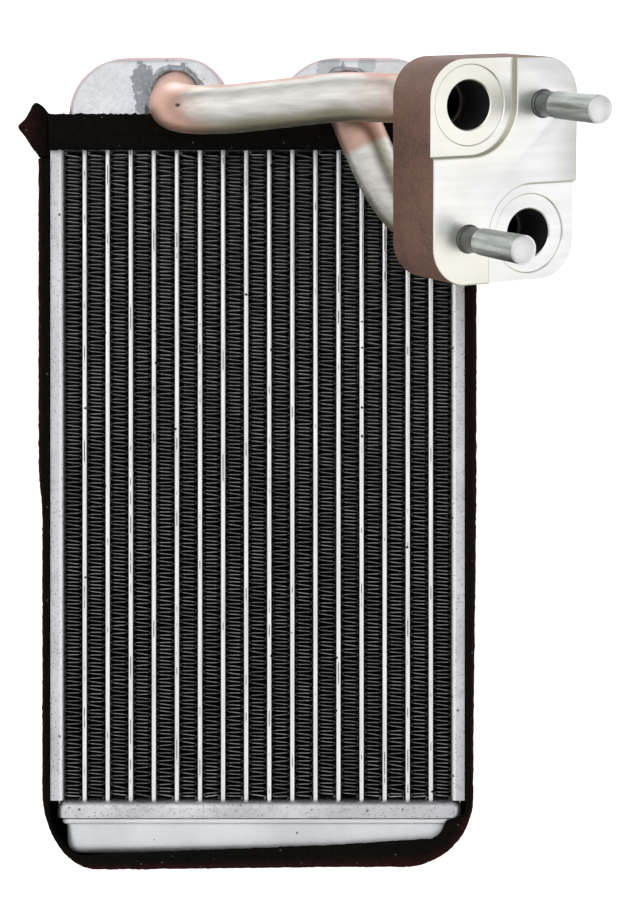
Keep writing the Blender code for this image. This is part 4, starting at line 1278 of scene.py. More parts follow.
class HEATERCORE_OT_upper_tanks(bpy.types.Operator):
    """Add the two domed tanks, with a hole for each pipe"""

    bl_idname = "heater_core.upper_tanks"
    bl_label = "Upper Tanks"

    def execute(self, context):
        sizes, tanks, pipes, colours = groups_of(context, "sizes", "tanks", "pipes", "finishes")
        foot = foot_half(sizes)
        between = tanks.foot_gap / 2
        joints = joint_places(sizes, tanks, pipes)
        stains = []
        for place_name, reach, strength in STAINS:
            start = joints[0] if place_name == "ring_stain" else CORE
            stains.append((start + getattr(colours, place_name), reach, strength))
        rim_height = CORE[2] + tank_depth(sizes, tanks) / 2 - tanks.upper_rim
        finish = dome_finish(colours, stains, rim_height)
        for name, left, feet, joint in (
            ("inlet_tank", tanks.inlet_inset - foot, (-foot, -between), joints[0]),
            ("outlet_tank", between + tanks.outlet_inset, (between, foot), joints[1]),
        ):
            ends = (*feet, left, left + tanks.upper_width)
            lofts = [
                (foot_rings(sizes, tanks, 1, ends, inset), dome_rings(sizes, tanks, left, inset))
                for inset in (0.0, tanks.wall)
            ]
            shell = shell_mesh(name, *lofts)
            mesh = carved(name + "_shell", shell, [stub_shape(pipes, joint)])
            add_piece(name + "_shell", mesh, [finish], [name], 35.0)
        return {"FINISHED"}


# Pipes


def bent_route(corners, radii, step):
    """A centre line of straight runs between corners, with an arc at each corner.

    An arc turns a start vector about the axis that both runs are square to:
    centre + cos t (start) + sin t (come), t from 0 to the corner's angle.
    """
    stretches = [corners[:1]]
    for before, corner, after, radius in zip(corners, corners[1:], corners[2:], radii):
        come = (corner - before) / np.linalg.norm(corner - before)
        go = (after - corner) / np.linalg.norm(after - corner)
        angle = float(np.arccos(np.clip(come @ go, -1.0, 1.0)))
        inward = go - come * (come @ go)
        inward /= np.linalg.norm(inward)
        centre = corner - come * radius * np.tan(angle / 2) + inward * radius
        t = arc(0.0, angle, max(2, int(angle / step)))[:, None]
        stretches.append(centre + radius * (np.sin(t) * come - np.cos(t) * inward))
    stretches.append(corners[-1:])
    return np.concatenate(stretches)


def way_along(route):
    """How far each point of a line is from its start."""
    steps = np.linalg.norm(np.diff(route, axis=0), axis=1)
    return np.concatenate([[0.0], np.cumsum(steps)])


def even_route(route, step):
    """The same line with its points about a step apart."""
    along = way_along(route)
    places = np.linspace(0.0, along[-1], int(along[-1] / step) + 1)
    return np.column_stack([np.interp(places, along, route[:, axis]) for axis in range(3)])


def carried_frames(route):
    """Two directions square to the line at each point, carried along without twist."""
    along = np.gradient(route, axis=0)
    along /= np.linalg.norm(along, axis=1, keepdims=True)
    first = np.cross(along[0], [1.0, 0.0, 0.0])
    frames = [first / np.linalg.norm(first)]
    for way in along[1:]:
        carried = frames[-1] - way * (frames[-1] @ way)
        frames.append(carried / np.linalg.norm(carried))
    frames = np.array(frames)
    return frames, np.cross(along, frames)


def pipe_rings(route, radius, sides):
    """Circles carried along a route: point + r (cos t first + sin t second)."""
    first, second = carried_frames(route)
    t = full_turn(sides)[None, :, None]
    ring = np.cos(t) * first[:, None, :] + np.sin(t) * second[:, None, :]
    return route[:, None, :] + np.reshape(radius, (-1, 1, 1)) * ring


def pipe_route(sizes, tanks, pipes, block, name):
    """One pipe's centre line from its tank to its socket in the block."""
    origin = pipe_origin(sizes, tanks)
    matrix = block_matrix(sizes, tanks, block)
    normal = np.array(matrix.to_3x3() @ Vector((0.0, 0.0, 1.0)))
    inlet = name == "inlet_pipe"
    port = port_places(block)[0 if inlet else 1]
    joint = joint_places(sizes, tanks, pipes)[0 if inlet else 1]
    back = np.array(matrix @ Vector((*port, -block.thickness)))
    line = stub_direction(pipes)
    port_start = back - normal * pipes.port_run
    port_end = back + normal * (block.socket - sizes.clearance)
    if inlet:
        run = [origin + pipes.inlet_first, origin + pipes.inlet_second]
        stub, easy = pipes.inlet_stub, [pipes.easy_bend] * 2
    else:
        first = origin + pipes.outlet_start
        last = port_start + pipes.outlet_approach
        middle = first + (last - first) * pipes.outlet_bow_share + pipes.outlet_bow
        run = [first, middle, last]
        stub, easy = pipes.outlet_stub, [pipes.easy_bend, pipes.easy_bend, pipes.elbow]
    corners = [joint - line * pipes.inset, joint + line * stub, *run, port_start, port_end]
    return bent_route(np.array(corners), [pipes.elbow, *easy, pipes.elbow], radians(3.0))


class HEATERCORE_OT_pipes(bpy.types.Operator):
    """Add the two bent pipes"""

    bl_idname = "heater_core.pipes"
    bl_label = "Pipes"

    def execute(self, context):
        names = ("sizes", "tanks", "pipes", "block", "finishes")
        sizes, tanks, pipes, block, colours = groups_of(context, *names)
        finish = pipe_finish(colours)
        point_step, sides = 1.5 * MM, 56
        last_start, last_fade = 45.0 * MM, 20.0 * MM
        for name, hot, cool, last in (
            ("inlet_pipe", pipes.inlet_hot, pipes.inlet_cool, 0.5),
            ("outlet_pipe", pipes.outlet_hot, pipes.outlet_cool, 0.0),
        ):
            route = even_route(pipe_route(sizes, tanks, pipes, block, name), point_step)
            outer = pipe_rings(route, pipes.radius, sides)
            inner = pipe_rings(route, pipes.radius - pipes.wall, sides)
            along = way_along(route)
            heat = ramp_down(along, cool, cool - hot)
            # Near the block the inlet takes more copper pink: heat tint, and also a painted
            # reflection of the block's brown side.
            heat += last * ramp_up(along, along[-1] - last_start, last_fade)
            # The inside field marks the inner wall, which gets painted shade.
            inside = np.concatenate([np.zeros(len(along)), np.ones(len(along))])[:, None]
            fields = {"heated": np.concatenate([heat, heat[::-1]])[:, None], "inside": inside}
            grid = np.concatenate([outer, inner[::-1]])
            mesh = grid_mesh(name + "_drawn", grid, wrap_rows=True, fields=fields)
            add_piece(name + "_drawn", mesh, [finish], [name])
        return {"FINISHED"}


def braze_grid(pipes, joint):
    """A fillet round a leaning pipe: a small oval carried round it.

    The oval's points are (r, h) = (pipe radius + a (1 + cos s), a (1 + sin s)), less
    what it sinks into the pipe and the tank. Its width a wanders with the angle, and
    each point is slid along the pipe so that its foot lies on the tank's face.
    """
    width, into_pipe, into_tank = 0.9 * MM, 0.15 * MM, 0.5 * MM
    t, s = full_turn(72)[:, None], full_turn(14)[None, :]
    wander = 1.0 + 0.28 * np.sin(3 * t + 1.0) + 0.18 * np.sin(7 * t)
    out = pipes.radius + width * (1.0 + np.cos(s)) * wander - into_pipe
    up = width * wander * (1.0 + np.sin(s)) - into_tank
    line = stub_direction(pipes)
    side = np.array([1.0, 0.0, 0.0])
    top = np.cross(line, side)
    ring = np.cos(t)[..., None] * side + np.sin(t)[..., None] * top
    points = joint + out[..., None] * ring
    slide = (joint[2] + up - points[..., 2]) / line[2]
    return points + slide[..., None] * line


class HEATERCORE_OT_joints(bpy.types.Operator):
    """Add the braze round the pipes where they leave the tanks"""

    bl_idname = "heater_core.joints"
    bl_label = "Brazed Joints"

    def execute(self, context):
        sizes, tanks, pipes, colours = groups_of(context, "sizes", "tanks", "pipes", "finishes")
        finish = residue_finish(colours)
        names = ("inlet_joint", "outlet_joint")
        for name, joint in zip(names, joint_places(sizes, tanks, pipes)):
            mesh = grid_mesh(name, braze_grid(pipes, joint), wrap_rows=True)
            add_piece(name, mesh, [finish])
        return {"FINISHED"}


# Block and studs


def block_grid(block):
    """The block: a rounded rectangle carried through its thickness, edges broken.

    The corner's quarter circle and the sides draw in by the edge's width at both
    faces, along a quarter circle.
    """
    t = arc(0.0, pi / 2, 3)
    edge = block.edge
    draw = np.concatenate([edge * (1 - np.cos(t[::-1])), edge * (1 - np.cos(t))])
    sink = edge * (1 - np.sin(t))
    fall = np.concatenate([-sink[::-1], -block.thickness + sink])
    turns = np.arange(4)[:, None] * pi / 2 + arc(0.0, pi / 2, 16)[None, :]
    across = np.array([1, -1, -1, 1])[:, None] * (block.width / 2 - block.corner)
    up = np.array([1, 1, -1, -1])[:, None] * (block.height / 2 - block.corner)
    radius = (block.corner - draw)[:, None, None]
    x = (across + radius * np.cos(turns)).reshape(len(draw), -1)
    y = (up + radius * np.sin(turns)).reshape(len(draw), -1)
    return np.stack([x, y, fall[:, None] + np.zeros_like(x)], axis=-1)


def pocket_shape(block, port, way):
    """The step round a port: straight from one edge, round the port, and straight on.

    Its wall leans out toward the face, where a small chamfer breaks its edge.
    """
    far = block.height
    levels = np.array([-1.0, -0.12, 0.0, 1.0]) * block.pocket_depth
    slope, chamfer, mouth = block.pocket_slope, 0.25 * MM, 0.6 * MM
    grow = np.array([0.0, slope * 0.9, slope + chamfer, slope + mouth])
    t = arc(-pi / 2, 0.0, 24)
    rings = []
    for level, extra in zip(levels, grow):
        radius = block.pocket_radius + extra
        x = np.concatenate([[radius, -far, -far], radius * np.cos(t)])
        y = np.concatenate([[far, far, -radius], radius * np.sin(t)])
        ring = [port[0] + way * x, port[1] + way * y, np.full(len(x), level)]
        rings.append(np.column_stack(ring))
    return grid_mesh("pocket", np.array(rings), capped=True)


def turned_grid(radii, heights, sides):
    """A profile turned round Z: (r cos t, r sin t, h)."""
    t = full_turn(sides)[None, :]
    radii, heights = np.array(radii)[:, None], np.array(heights)[:, None]
    x, y = radii * np.cos(t), radii * np.sin(t)
    return np.stack([x, y, heights + np.zeros_like(x)], axis=-1)


def port_shape(sizes, pipes, block, port):
    """Seat, chamfered bore and socket of one port, as one turned shape."""
    top = block.pocket_depth
    floor = -block.pocket_depth - block.seat_depth
    rim = -block.pocket_depth
    shoulder = block.socket - block.thickness
    socket = pipes.radius + sizes.clearance
    seat_edge, chamfer = 0.3 * MM, 0.35 * MM
    profile = [
        (block.seat + seat_edge, top),
        (block.seat + seat_edge, rim),
        (block.seat, rim - seat_edge),
        (block.seat, floor),
        (block.bore + chamfer, floor),
        (block.bore, floor - chamfer),
        (block.bore, shoulder),
        (socket, shoulder),
        (socket, -block.thickness - top),
    ]
    grid = turned_grid(*zip(*profile), 64) + [*port, 0.0]
    return grid_mesh("port", grid, capped=True)


def stud_hole_shape(sizes, block, spot):
    """The blind hole of a stud, with a wider mouth for its collar."""
    radius = block.stud_radius + sizes.clearance
    mouth = block.stud_collar + block.stud_play
    edge = 0.1 * MM
    profile = [
        (mouth + edge, 1.0 * MM),
        (mouth + edge, 0.0),
        (mouth, -edge),
        (mouth, -block.stud_sink),
        (radius, -block.stud_sink),
        (radius, -block.stud_root - sizes.clearance),
    ]
    grid = turned_grid(*zip(*profile), 48) + [*spot, 0.0]
    return grid_mesh("stud_hole", grid, capped=True)


def mark_sides(mesh, block):
    """Give the block's outer sides the second finish and its bores the third, painted shade.

    A face is on a side where it looks across the block and lies near its outline, and in a bore
    where it is near a port's line and below the seat. The holes of the studs get the same painted
    shade as the bores.
    """
    near_side, below_seat, below_face = 0.7 * MM, 0.25 * MM, 0.1 * MM
    round_bore, round_hole, from_back = 1.0 * MM, 0.5 * MM, 1.0 * MM
    count = len(mesh.polygons)
    centres, normals = np.empty(count * 3), np.empty(count * 3)
    mesh.polygons.foreach_get("center", centres)
    mesh.polygons.foreach_get("normal", normals)
    centres, normals = centres.reshape(-1, 3), normals.reshape(-1, 3)
    inner = np.array([block.width / 2 - block.corner, block.height / 2 - block.corner])
    beyond = np.maximum(np.abs(centres[:, :2]) - inner, 0.0)
    outline = np.linalg.norm(beyond, axis=1) - block.corner
    height = centres[:, 2]
    sides = (np.abs(normals[:, 2]) < 0.6) & (outline > -near_side)
    deep = height < -block.pocket_depth - block.seat_depth - below_seat
    deep &= height > -block.thickness + from_back
    bores = np.zeros(count, dtype=bool)
    for port in port_places(block):
        away = np.linalg.norm(centres[:, :2] - port, axis=1)
        bores |= deep & (away < block.bore + round_bore)
    for spot in stud_places(block):
        away = np.linalg.norm(centres[:, :2] - spot, axis=1)
        bores |= (height < -below_face) & (away < block.stud_collar + round_hole)
    index = np.where(bores, 2, sides.astype(np.int32)).astype(np.int32)
    mesh.polygons.foreach_set("material_index", index)


class HEATERCORE_OT_block(bpy.types.Operator):
    """Add the machined connection block"""

    bl_idname = "heater_core.block"
    bl_label = "Connection Block"

    def execute(self, context):
        names = ("sizes", "tanks", "pipes", "block", "finishes")
        sizes, tanks, pipes, block, colours = groups_of(context, *names)
        matrix = block_matrix(sizes, tanks, block)
        inlet, outlet = port_places(block)
        shapes = [pocket_shape(block, inlet, 1), pocket_shape(block, outlet, -1)]
        shapes += [port_shape(sizes, pipes, block, port) for port in (inlet, outlet)]
        shapes += [stud_hole_shape(sizes, block, spot) for spot in stud_places(block)]
        raw = grid_mesh("block", block_grid(block), capped=True)
        mesh = carved("connection_block_milled", raw, shapes)
        mark_sides(mesh, block)
        finishes = [
            machined_finish(colours, block, matrix),
            raw_side_finish(colours),
            # The third finish is the painted shade of the bores and holes.
            bore_shade_finish(colours),
        ]
        mesh.transform(matrix)
        node, slot = "connection_block", "machined_aluminium"
        add_piece("connection_block_milled", mesh, finishes, [node], 30.0)
        return {"FINISHED"}


def stud_profile(sizes, block):
    """Radii, heights, and where the thread, the parts in painted shade and the tip are.

    From the root up: a plain root, a collar, a slim shank, then the thread, which
    fades in over one pitch, and a chamfered tip.
    """
    collar_foot = sizes.clearance - block.stud_sink
    collar_top = collar_foot + block.stud_collar_height
    shank_top = collar_top + block.stud_shank_length
    chamfer, collar_edge, middle = block.stud_chamfer, 0.25 * MM, 0.02 * MM
    root_shade, shank_end = 0.85, 0.5 * MM
    wide = block.stud_radius + block.stud_flare
    thread = np.arange(shank_top, block.stud_length - chamfer, block.thread_pitch / 8)
    tip = [
        (wide, block.stud_length - chamfer),
        (wide - 0.5 * chamfer, block.stud_length - 0.3 * chamfer),
        (wide - chamfer, block.stud_length),
        (middle, block.stud_length),
    ]
    foot = [
        (middle, -block.stud_root),
        (block.stud_radius, -block.stud_root),
        (block.stud_radius, collar_foot),
        (block.stud_collar, collar_foot),
        (block.stud_collar, collar_top - collar_edge),
        (block.stud_collar - collar_edge, collar_top),
        (block.stud_shank, collar_top),
        (block.stud_shank, shank_top - shank_end),
    ]
    heights = np.array([*(h for _, h in foot), *thread, *(h for _, h in tip)])
    flare = block.stud_radius + block.stud_flare * (thread - shank_top) / (thread[-1] - shank_top)
    radii = np.array([*(r for r, _ in foot), *flare, *(r for r, _ in tip)])
    rows = np.arange(len(heights))
    threaded = (rows >= len(foot)) & (rows < len(foot) + len(thread))
    dark = np.where(rows < len(foot), root_shade, 0.0)
    bright = ramp_up(heights, block.stud_length - 1.2 * chamfer, chamfer)
    return radii, heights, threaded, dark, bright


def stud_grid(sizes, block):
    """A stud turned round Z, with a helical thread.

    Where it is threaded the radius drops by the thread's depth times a rounded
    triangle wave of height / pitch - t / 2 pi.
    """
    sides, groove_shade = 40, 0.12
    radii, heights, threaded, dark, bright = stud_profile(sizes, block)
    grid = turned_grid(radii, heights, sides)
    t = full_turn(sides)[None, :]
    phase = heights[:, None] / block.thread_pitch - t / (2 * pi)
    groove = 0.5 - 0.5 * np.cos(2 * pi * phase)
    fade = ramp_up(heights, heights[threaded][0], block.thread_pitch)
    groove = groove * (threaded * fade)[:, None]
    shrink = 1.0 - groove * block.thread_depth / block.stud_radius
    grid[..., :2] *= shrink[..., None]
    return grid, np.maximum(groove * groove_shade, dark[:, None]), bright[:, None]


class HEATERCORE_OT_studs(bpy.types.Operator):
    """Add the two threaded studs"""

    bl_idname = "heater_core.studs"
    bl_label = "Studs"

    def execute(self, context):
        sizes, tanks, block, colours = groups_of(context, "sizes", "tanks", "block", "finishes")
        matrix = block_matrix(sizes, tanks, block)
        finish = stud_finish(colours, matrix)
        for name, spot in zip(("upper_stud", "lower_stud"), stud_places(block)):
            grid, groove, tip = stud_grid(sizes, block)
            fields = {"groove": groove, "tip": tip}
            mesh = grid_mesh(name + "_threaded", grid + [*spot, 0.0], capped=True, fields=fields)
            mesh.transform(matrix)
            add_piece(name + "_threaded", mesh, [finish], [name], 50.0)
        return {"FINISHED"}


# Foam


def section_loop(steps, corner):
    """Round a unit square: up one long side, across, down the other and back.

    It returns the way along the long sides, in even steps, and the way along the
    short ones, which have a few points each.
    """
    edge = np.linspace(0.0, 1.0, steps + 1)[:-1]
    long_way = np.concatenate([edge, np.ones(corner), edge[::-1] + 1.0 / steps, np.zeros(corner)])
    short = np.linspace(0.0, 1.0, corner + 2)[1:-1]
    short_way = np.concatenate([np.zeros(steps), short, np.ones(steps), short[::-1]])
    return long_way, short_way


def fuzzy(points, outward, size, seed):
    """Move points along their own way, at random and by slow waves, and in by a size."""
    random = np.random.default_rng(seed)
    wave_length = 6.0 * MM
    jitter = random.normal(0.0, 0.5, points.shape[:-1]) * size
    slow = waves(points, wave_length, seed) * size * 0.5
    return points + outward * (jitter + slow - size)[..., None]


def foam_line(sizes, tanks, foam, outer):
    """One side of the tape: down the left, round two elliptic corners, up the right.

    The outer line is pressed in toward its lower ends by a share of the way down,
    eased as 3 k^2 - 2 k^3, and its lower part sags toward the left.
    """
    sag_height, corner_steps, side_points, floor_points = 25 * MM, 48, 195, 98
    half = sizes.core_height / 2
    inner = half_width(sizes) + sizes.side_flange + sizes.clearance
    floor = half + tanks.lower_height + sizes.clearance
    left_corner, right_corner = foam.inner_corner, foam.inner_corner
    edge, base, press = inner, -floor, (0.0, 0.0)
    if outer:
        left_corner, right_corner = foam.left_corner, foam.right_corner
        edge, base, press = inner + foam.thickness, -floor - foam.thickness, foam.press
    tops = (half - foam.left_drop, half + foam.strip_height)
    t = arc(0.0, pi / 2, corner_steps)
    columns = []
    for (across, up), top, pressed, lower in zip(
        (left_corner, right_corner), tops, press, foam.press_ends
    ):
        low = base + up
        y = np.linspace(top, low, side_points)[:-1]
        k = ramp_down(y, foam.press_start, foam.press_start - lower)
        x = edge - pressed * (3 * k**2 - 2 * k**3)
        corner_x = edge - pressed - across + across * np.cos(t)
        corner_y = base + up - up * np.sin(t)
        columns.append(np.column_stack([np.append(x, corner_x), np.append(y, corner_y)]))
    left, right = columns
    left = left * [-1.0, 1.0]
    flat = np.linspace(left[-1, 0], right[-1, 0], floor_points)[1:-1]
    bottom = np.column_stack([flat, np.full(len(flat), base)])
    line = np.concatenate([left, bottom, right[::-1]])
    if outer:
        to_left = ramp_down(line[:, 0], edge * 0.4, edge)
        low = ramp_down(line[:, 1], base + sag_height, sag_height)
        line[:, 1] -= foam.sag * to_left * low
    return line


def way_out(line):
    """The way out of the core along a line that runs down, across and up."""
    along = np.gradient(line, axis=0)
    out = np.column_stack([along[:, 1], -along[:, 0]])
    return out / np.linalg.norm(out, axis=1, keepdims=True)


def foam_wrap_grid(sizes, tanks, foam):
    """The tape: a section between its outer and inner lines, carried along them.

    s runs from the outer line to the inner one and t from the back to the front.
    Under the lower tank the front edge curls up by a lip that grows to the right
    and goes on round the right corner. The lip fades out upward and at the left.
    """
    inner = foam_line(sizes, tanks, foam, False)
    outer = foam_line(sizes, tanks, foam, True)
    inner_out, outer_out = way_out(inner), way_out(outer)
    t, s = (way[None, :] for way in section_loop(22, 3))
    outer = outer - outer_out * foam.fuzz
    x = outer[:, :1] * (1 - s) + inner[:, :1] * s
    y = outer[:, 1:] * (1 - s) + inner[:, 1:] * s
    z = foam.back + (foam.front - foam.back) * t
    reach = half_width(sizes)
    to_right = ramp_up(inner[:, 0] / reach, -1.0, 2.0)
    height = inner[:, 1] + sizes.core_height / 2
    lip_top, lip_growth, left_gap, left_growth = -3.2 * MM, 4.2 * MM, 2 * MM, 9 * MM
    low = ramp_down(height, lip_top, lip_growth)
    fade = ramp_up(inner[:, 0] + reach, left_gap, left_growth)
    lip_places = [0.0, 0.7, 0.92, 1.0]
    lips = [foam.lip_left, foam.lip_middle, foam.lip_right, foam.lip_right]
    lip = np.interp(to_right, lip_places, lips) * low * fade
    front = ramp_up(z, foam.front - foam.lip_depth, foam.lip_depth)
    curl = lip[:, None] * front**1.5 * s
    x, y = x - inner_out[:, :1] * curl, y - inner_out[:, 1:] * curl
    grid = np.stack([x, y, z + 0 * x], axis=-1)
    outward = np.zeros_like(grid)
    outward[..., :2] = outer_out[:, None, :] * (1 - s)[..., None]
    outward[..., :2] -= inner_out[:, None, :] * s[..., None]
    outward[..., 2] = np.where(t > 0.98, 0.8, np.where(t < 0.02, -0.8, 0.0))
    outward[[0, -1], :, 1] = 1.0
    cut_edge = 0.3125
    edge = ramp_up(t, 0.9, 0.1) * ramp_down(s, cut_edge, cut_edge) + 0 * x
    return fuzzy(grid + CORE, outward, foam.fuzz, 5), edge


def strip_grid(sizes, tanks, pipes, foam):
    """The front strip: its section carried across, its top hollowed round the stubs.

    The top is the strip's height, or a gap below the pipe's circle where that is
    lower. The front is pillowed by a half sine wave.
    """
    gap, crown_height, points_across = 0.8 * MM, 0.5 * MM, 170
    reach = half_width(sizes) + sizes.side_flange
    x = np.linspace(-reach, reach, points_across)[:, None]
    low = sizes.core_height / 2 - foam.strip_droop
    high = low + foam.strip_droop + foam.strip_height + 0 * x
    back = header_depth(sizes, tanks) / 2 + sizes.clearance
    middle_z = back + foam.strip_thickness / 2
    radius = pipes.radius + sizes.clearance
    for joint in joint_places(sizes, tanks, pipes):
        centre = joint - CORE
        fall = (middle_z - centre[2]) * np.tan(pipes.tilt)
        reach_down = np.sqrt(np.clip(radius**2 - (x - centre[0]) ** 2, 0.0, None))
        inside = np.abs(x - centre[0]) < radius
        hollow = centre[1] - fall - reach_down - gap
        high = np.where(inside, np.minimum(high, hollow), high)
    t, s = (way[None, :] for way in section_loop(9, 3))
    y = low + (high - low) * t
    z = back + foam.strip_thickness * s + np.zeros_like(y)
    crown = crown_height * np.sin(pi * t) * (s > 0.5)
    grid = np.stack([x + np.zeros_like(y), y, z - crown_height * (s > 0.5) + crown], axis=-1)
    outward = np.zeros_like(grid)
    outward[..., 2] = 2 * s - 1
    outward[..., 1] = np.where(t > 0.98, 2.4, np.where(t < 0.02, -0.8, 0.0))
    return fuzzy(grid + CORE, outward, foam.fuzz * 1.3, 9), np.zeros_like(y)


def tape_end_grid(sizes, foam):
    """The pressed tape end: an outline filled from its middle, pillowed by depth.

    The outline's corners are cut twice, at a share of each side. Rings near the
    front and the back shrink toward its middle by up to a share, as a square.
    """
    cut, shrunk, flat = 0.18, 0.14, 0.9
    point_step, edge_reach, edge_strength = 0.7 * MM, 5 * MM, 0.4
    half = sizes.core_height / 2
    inner = half_width(sizes) + sizes.side_flange + sizes.clearance
    outer = inner + foam.thickness
    foot = half - foam.left_drop + sizes.clearance
    tip, peak = foam.end_tip, foam.end_peak
    loop = np.array(
        [
            (-inner, foot),
            (-inner, half + foam.end_root - 1.0 * MM),
            (-inner - 1.6 * MM, half + peak[1] - 1.4 * MM),
            (-outer - peak[0], half + peak[1] + 0.5 * MM),
            (-outer - 0.62 * tip[0], half + tip[1] + 2.6 * MM),
            (-outer - tip[0] - 0.5 * MM, half + tip[1]),
            (-outer - 0.7 * tip[0], half + tip[1] - 2.8 * MM),
            (-outer - 0.34 * tip[0], half + 0.8 * MM),
            (-outer, half - 1.8 * MM),
            (-outer, foot),
        ]
    )
    for _ in range(2):
        after = np.roll(loop, -1, axis=0)
        loop = np.stack([(1 - cut) * loop + cut * after, cut * loop + (1 - cut) * after], axis=1)
        loop = loop.reshape(-1, 2)
    closed = np.vstack([loop, loop[:1]])
    outline = even_route(np.pad(closed, ((0, 0), (0, 1))), point_step)[:-1, :2]
    middle = outline.mean(axis=0)
    k = np.linspace(-1.0, 1.0, 30)
    late = np.maximum(np.abs(k) - flat, 0.0) / (1 - flat)
    shrink = 1 - shrunk * late**2
    points = middle + (outline[None] - middle) * shrink[:, None, None]
    depth = (foam.front + foam.back) / 2 + (foam.front - foam.back) / 2 * k
    grid = np.empty((len(k), len(outline), 3))
    grid[..., :2] = points
    grid[..., 2] = depth[:, None]
    outward = np.zeros_like(grid)
    outward[..., :2] = (outline - middle) / np.linalg.norm(outline - middle, axis=1, keepdims=True)
    to_left = ramp_up(-outline[:, 0], outer, edge_reach)
    edge = ramp_up(k, 0.8, 0.2)[:, None] * to_left[None, :] * edge_strength
    return fuzzy(grid + CORE, outward, foam.fuzz, 12), edge


class HEATERCORE_OT_foam(bpy.types.Operator):
    """Add the foam tape, its front strip and its pressed end"""

    bl_idname = "heater_core.foam"
    bl_label = "Foam"

    def execute(self, context):
        names = ("sizes", "tanks", "pipes", "foam", "finishes")
        sizes, tanks, pipes, foam, colours = groups_of(context, *names)
        finish = foam_finish(colours)
        for name, (grid, edge) in {
            "foam_wrap": foam_wrap_grid(sizes, tanks, foam),
            "foam_front_strip": strip_grid(sizes, tanks, pipes, foam),
            "foam_tape_end": tape_end_grid(sizes, foam),
        }.items():
            mesh = grid_mesh(name + "_soft", grid, capped=True, fields={"edge": edge})
            piece = add_piece(name + "_soft", mesh, [finish], [name], 60.0)
        return {"FINISHED"}


# Stage

# Each lamp: its name, power, width, and place in metres.
LAMPS = (
    ("overhead_lamp", 1.8, 1.2, (-0.35, 0.55, 1.1)),
    ("right_lamp", 1.25, 0.9, (1.0, -0.25, 0.75)),
    ("left_lamp", 0.8, 0.9, (-1.0, 0.0, 0.7)),
)
CAMERA_PLACE = np.array([19.97, 7.2, 813.5]) * MM
FOCAL_PIXELS = 2500.0

FLOOR_HALF = 4.0
FLOOR_DROP = 0.1 * MM
FLOOR_GLOW = 0.75
MASK_INSET, MASK_FADE = 3.0 * MM, 1.5 * MM
WORLD_BELOW, WORLD_ABOVE = 0.40, 0.88
WHITE = (1.0, 1.0, 1.0, 1.0)


def floor_finish(low, high):
    """A pale floor that keeps the shadow and looks white to the camera beyond the part.

    The added light that only the camera and reflections see is masked out under
    the part, with a box in object coordinates.
    """
    finish = Finish("studio_floor", roughness=0.9)
    grain = finish.noise(35.0, 3.0)
    pale = finish.blend(grain, (0.80, 0.80, 0.80), (0.83, 0.83, 0.83))
    finish.set("Base Color", pale)
    path = finish.tree.nodes.new("ShaderNodeLightPath")
    seen = finish.math("MAXIMUM", path.outputs["Is Camera Ray"], path.outputs["Is Glossy Ray"])
    seen = finish.math("MAXIMUM", seen, path.outputs["Is Transmission Ray"])
    inside = 1.0
    for axis, index in (("X", 0), ("Y", 1)):
        middle, half = (low[index] + high[index]) / 2, (high[index] - low[index]) / 2
        away = finish.math("ABSOLUTE", finish.math("SUBTRACT", finish.axis(axis), middle))
        near = finish.spread(away, half - MASK_FADE, half, 1.0, 0.0)
        inside = finish.math("MULTIPLY", near, inside)
    outside = finish.math("SUBTRACT", 1.0, inside)
    glow = finish.tree.nodes.new("ShaderNodeEmission")
    glow.inputs["Color"].default_value = WHITE
    strength = finish.math("MULTIPLY", finish.math("MULTIPLY", seen, outside), FLOOR_GLOW)
    finish.tree.links.new(strength, glow.inputs["Strength"])
    both = finish.tree.nodes.new("ShaderNodeAddShader")
    finish.tree.links.new(finish.shader.outputs["BSDF"], both.inputs[0])
    finish.tree.links.new(glow.outputs["Emission"], both.inputs[1])
    output = finish.tree.nodes["Material Output"]
    finish.tree.links.new(both.outputs["Shader"], output.inputs["Surface"])
    return finish.material


def studio_world():
    """White to the camera; for lighting it is brightest overhead and dimmer below."""
    world = bpy.data.worlds.new("studio")
    world.use_nodes = True
    tree = world.node_tree
    tree.nodes.clear()
    coordinates = tree.nodes.new("ShaderNodeTexCoord")
    split = tree.nodes.new("ShaderNodeSeparateXYZ")
    tree.links.new(coordinates.outputs["Generated"], split.inputs["Vector"])
    rising = tree.nodes.new("ShaderNodeMapRange")
    tree.links.new(split.outputs["Z"], rising.inputs["Value"])
    numbers = (-0.2, 1.0, WORLD_BELOW, WORLD_ABOVE)
    for name, number in zip(("From Min", "From Max", "To Min", "To Max"), numbers):
        rising.inputs[name].default_value = number
    light = tree.nodes.new("ShaderNodeBackground")
    tree.links.new(rising.outputs["Result"], light.inputs["Strength"])
    white = tree.nodes.new("ShaderNodeBackground")
    white.inputs["Strength"].default_value = 1.0
    white.inputs["Color"].default_value = WHITE
    light.inputs["Color"].default_value = WHITE
    path = tree.nodes.new("ShaderNodeLightPath")
    mix = tree.nodes.new("ShaderNodeMixShader")
    tree.links.new(path.outputs["Is Camera Ray"], mix.inputs["Fac"])
    tree.links.new(light.outputs["Background"], mix.inputs[1])
    tree.links.new(white.outputs["Background"], mix.inputs[2])
    output = tree.nodes.new("ShaderNodeOutputWorld")
    tree.links.new(mix.outputs["Shader"], output.inputs["Surface"])
    bpy.context.scene.world = world


def add_lamp(name, energy, size, spot):
    """A square soft lamp that looks at the core's middle."""
    lamp = bpy.data.lights.new(name, "AREA")
    lamp.energy = energy
    lamp.size = size
    holder = bpy.data.objects.new(name, lamp)
    holder.location = spot
    holder.rotation_euler = (Vector(CORE) - Vector(spot)).to_track_quat("-Z", "Y").to_euler()
    bpy.context.scene.collection.objects.link(holder)


